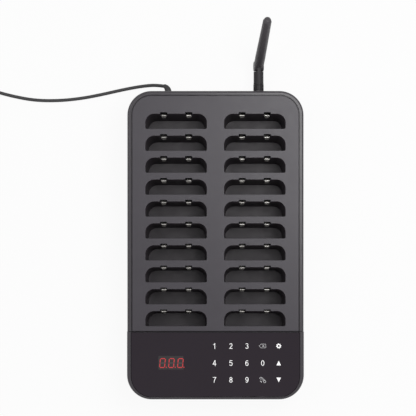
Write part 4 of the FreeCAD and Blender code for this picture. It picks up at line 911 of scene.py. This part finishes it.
def addDisplayDigits(name, lit, finish):
    width, height = display["digit"]
    digit = joinAll(name, digitSegments(lit))
    lean = math.tan(math.radians(display["slant"]))
    digit.data.transform(Matrix(((1.0, lean, 0.0), (0.0, 1.0, 0.0), (0.0, 0.0, 1.0))).to_4x4())
    digits = [digit]
    for place in range(1, display["digits"]):
        digits.append(duplicateAt(digit, Vector((place * display["pitch"], 0.0, 0.0))))
    row = joinAll(name, digits)
    x = display["firstLeft"] + 0.5 * (width + height * lean)
    y = display["bottom"] + 0.5 * height
    printOn(name, row, caseMiddle + Vector((x, y, keypad["panelTop"] + display["rise"])) * mm)
    finishPiece(row, "base", finish)


def addDisplayWindow():
    bpy.ops.mesh.primitive_plane_add(size=1.0)
    window = bpy.context.active_object
    window.scale = (*display["size"], 1.0)
    applyPlace(window)
    chooseAll(window)
    bpy.ops.mesh.bevel(offset=display["corner"], segments=3, affect="VERTICES")
    bpy.ops.object.mode_set(mode="OBJECT")
    printOn("displayWindow", window, caseMiddle + Vector((*display["middle"], keypad["panelTop"])) * mm)
    finishPiece(window, "base", finishes["displayTint"])


def addDots():
    dots = []
    for x, y in display["dots"]:
        bpy.ops.mesh.primitive_circle_add(vertices=16, radius=display["dotRadius"], fill_type="NGON")
        spot = Vector((x, y, keypad["panelTop"] + display["rise"])) * mm
        dots.append(printOn("dot", bpy.context.active_object, caseMiddle + spot))
    finishPiece(joinAll("litDots", dots), "base", finishes["litSegment"])


addDisplayWindow()
addDisplayDigits("litSegments", True, finishes["litSegment"])
addDisplayDigits("unlitSegments", False, finishes["unlitSegment"])
addDots()
print("display lit")


# floor, lamps and world

studio = {
    "floorSize": 8.0,
    "floorWhite": (0.90, 0.90, 0.90),
    "floorGlow": 0.92,
    "worldLight": 0.36,
    "keyLamp": {"location": (0.30, 0.19, 0.95), "size": 0.6, "power": 4.8},
    "fillLamp": {"location": (-0.50, 0.20, 0.95), "size": 0.5, "power": 1.2},
}


def seenDirectly(tree):
    # 1 for what the camera, a reflection or a view through glass sees, 0 for light that falls on the object
    path = tree.nodes.new("ShaderNodeLightPath")
    total = path.outputs["Is Camera Ray"]
    for ray in ("Is Glossy Ray", "Is Transmission Ray"):
        add = tree.nodes.new("ShaderNodeMath")
        add.operation = "MAXIMUM"
        tree.links.new(total, add.inputs[0])
        tree.links.new(path.outputs[ray], add.inputs[1])
        total = add.outputs["Value"]
    return total


def addFloor():
    bpy.ops.mesh.primitive_plane_add(size=studio["floorSize"], location=(0.0, 0.0, 0.0))
    floor = bpy.context.active_object
    floor.name = "floor"
    material = bpy.data.materials.new("paleFloor")
    material.use_nodes = True
    tree = material.node_tree
    tree.nodes.remove(tree.nodes["Principled BSDF"])
    plain = tree.nodes.new("ShaderNodeBsdfDiffuse")
    plain.inputs["Color"].default_value = (*studio["floorWhite"], 1.0)
    glow = tree.nodes.new("ShaderNodeEmission")
    glow.inputs["Strength"].default_value = 1.0
    mixed = tree.nodes.new("ShaderNodeMixShader")
    share = addRange(tree, seenDirectly(tree), 0.0, studio["floorGlow"], wholeSpan)
    tree.links.new(share, mixed.inputs["Fac"])
    tree.links.new(plain.outputs["BSDF"], mixed.inputs[1])
    tree.links.new(glow.outputs["Emission"], mixed.inputs[2])
    tree.links.new(mixed.outputs["Shader"], tree.nodes["Material Output"].inputs["Surface"])
    floor.data.materials.append(material)


def addLamp(name, location, size, power):
    bpy.ops.object.light_add(type="AREA", location=location)
    lamp = bpy.context.active_object
    lamp.name = name
    lamp.data.shape = "DISK"
    lamp.data.size = size
    lamp.data.energy = power
    lamp.rotation_euler = (caseMiddle - lamp.location).to_track_quat("-Z", "Y").to_euler()


def addWorld():
    world = bpy.data.worlds.new("studio")
    world.use_nodes = True
    tree = world.node_tree
    background = tree.nodes["Background"]
    background.inputs["Color"].default_value = (1.0, 1.0, 1.0, 1.0)
    strength = addRange(tree, seenDirectly(tree), studio["worldLight"], 1.0, wholeSpan)
    tree.links.new(strength, background.inputs["Strength"])
    bpy.context.scene.world = world


addFloor()
addLamp("keyLamp", **studio["keyLamp"])
addLamp("fillLamp", **studio["fillLamp"])
addWorld()
bpy.context.scene.view_settings.view_transform = "Standard"
print("studio lit")

selectNone()
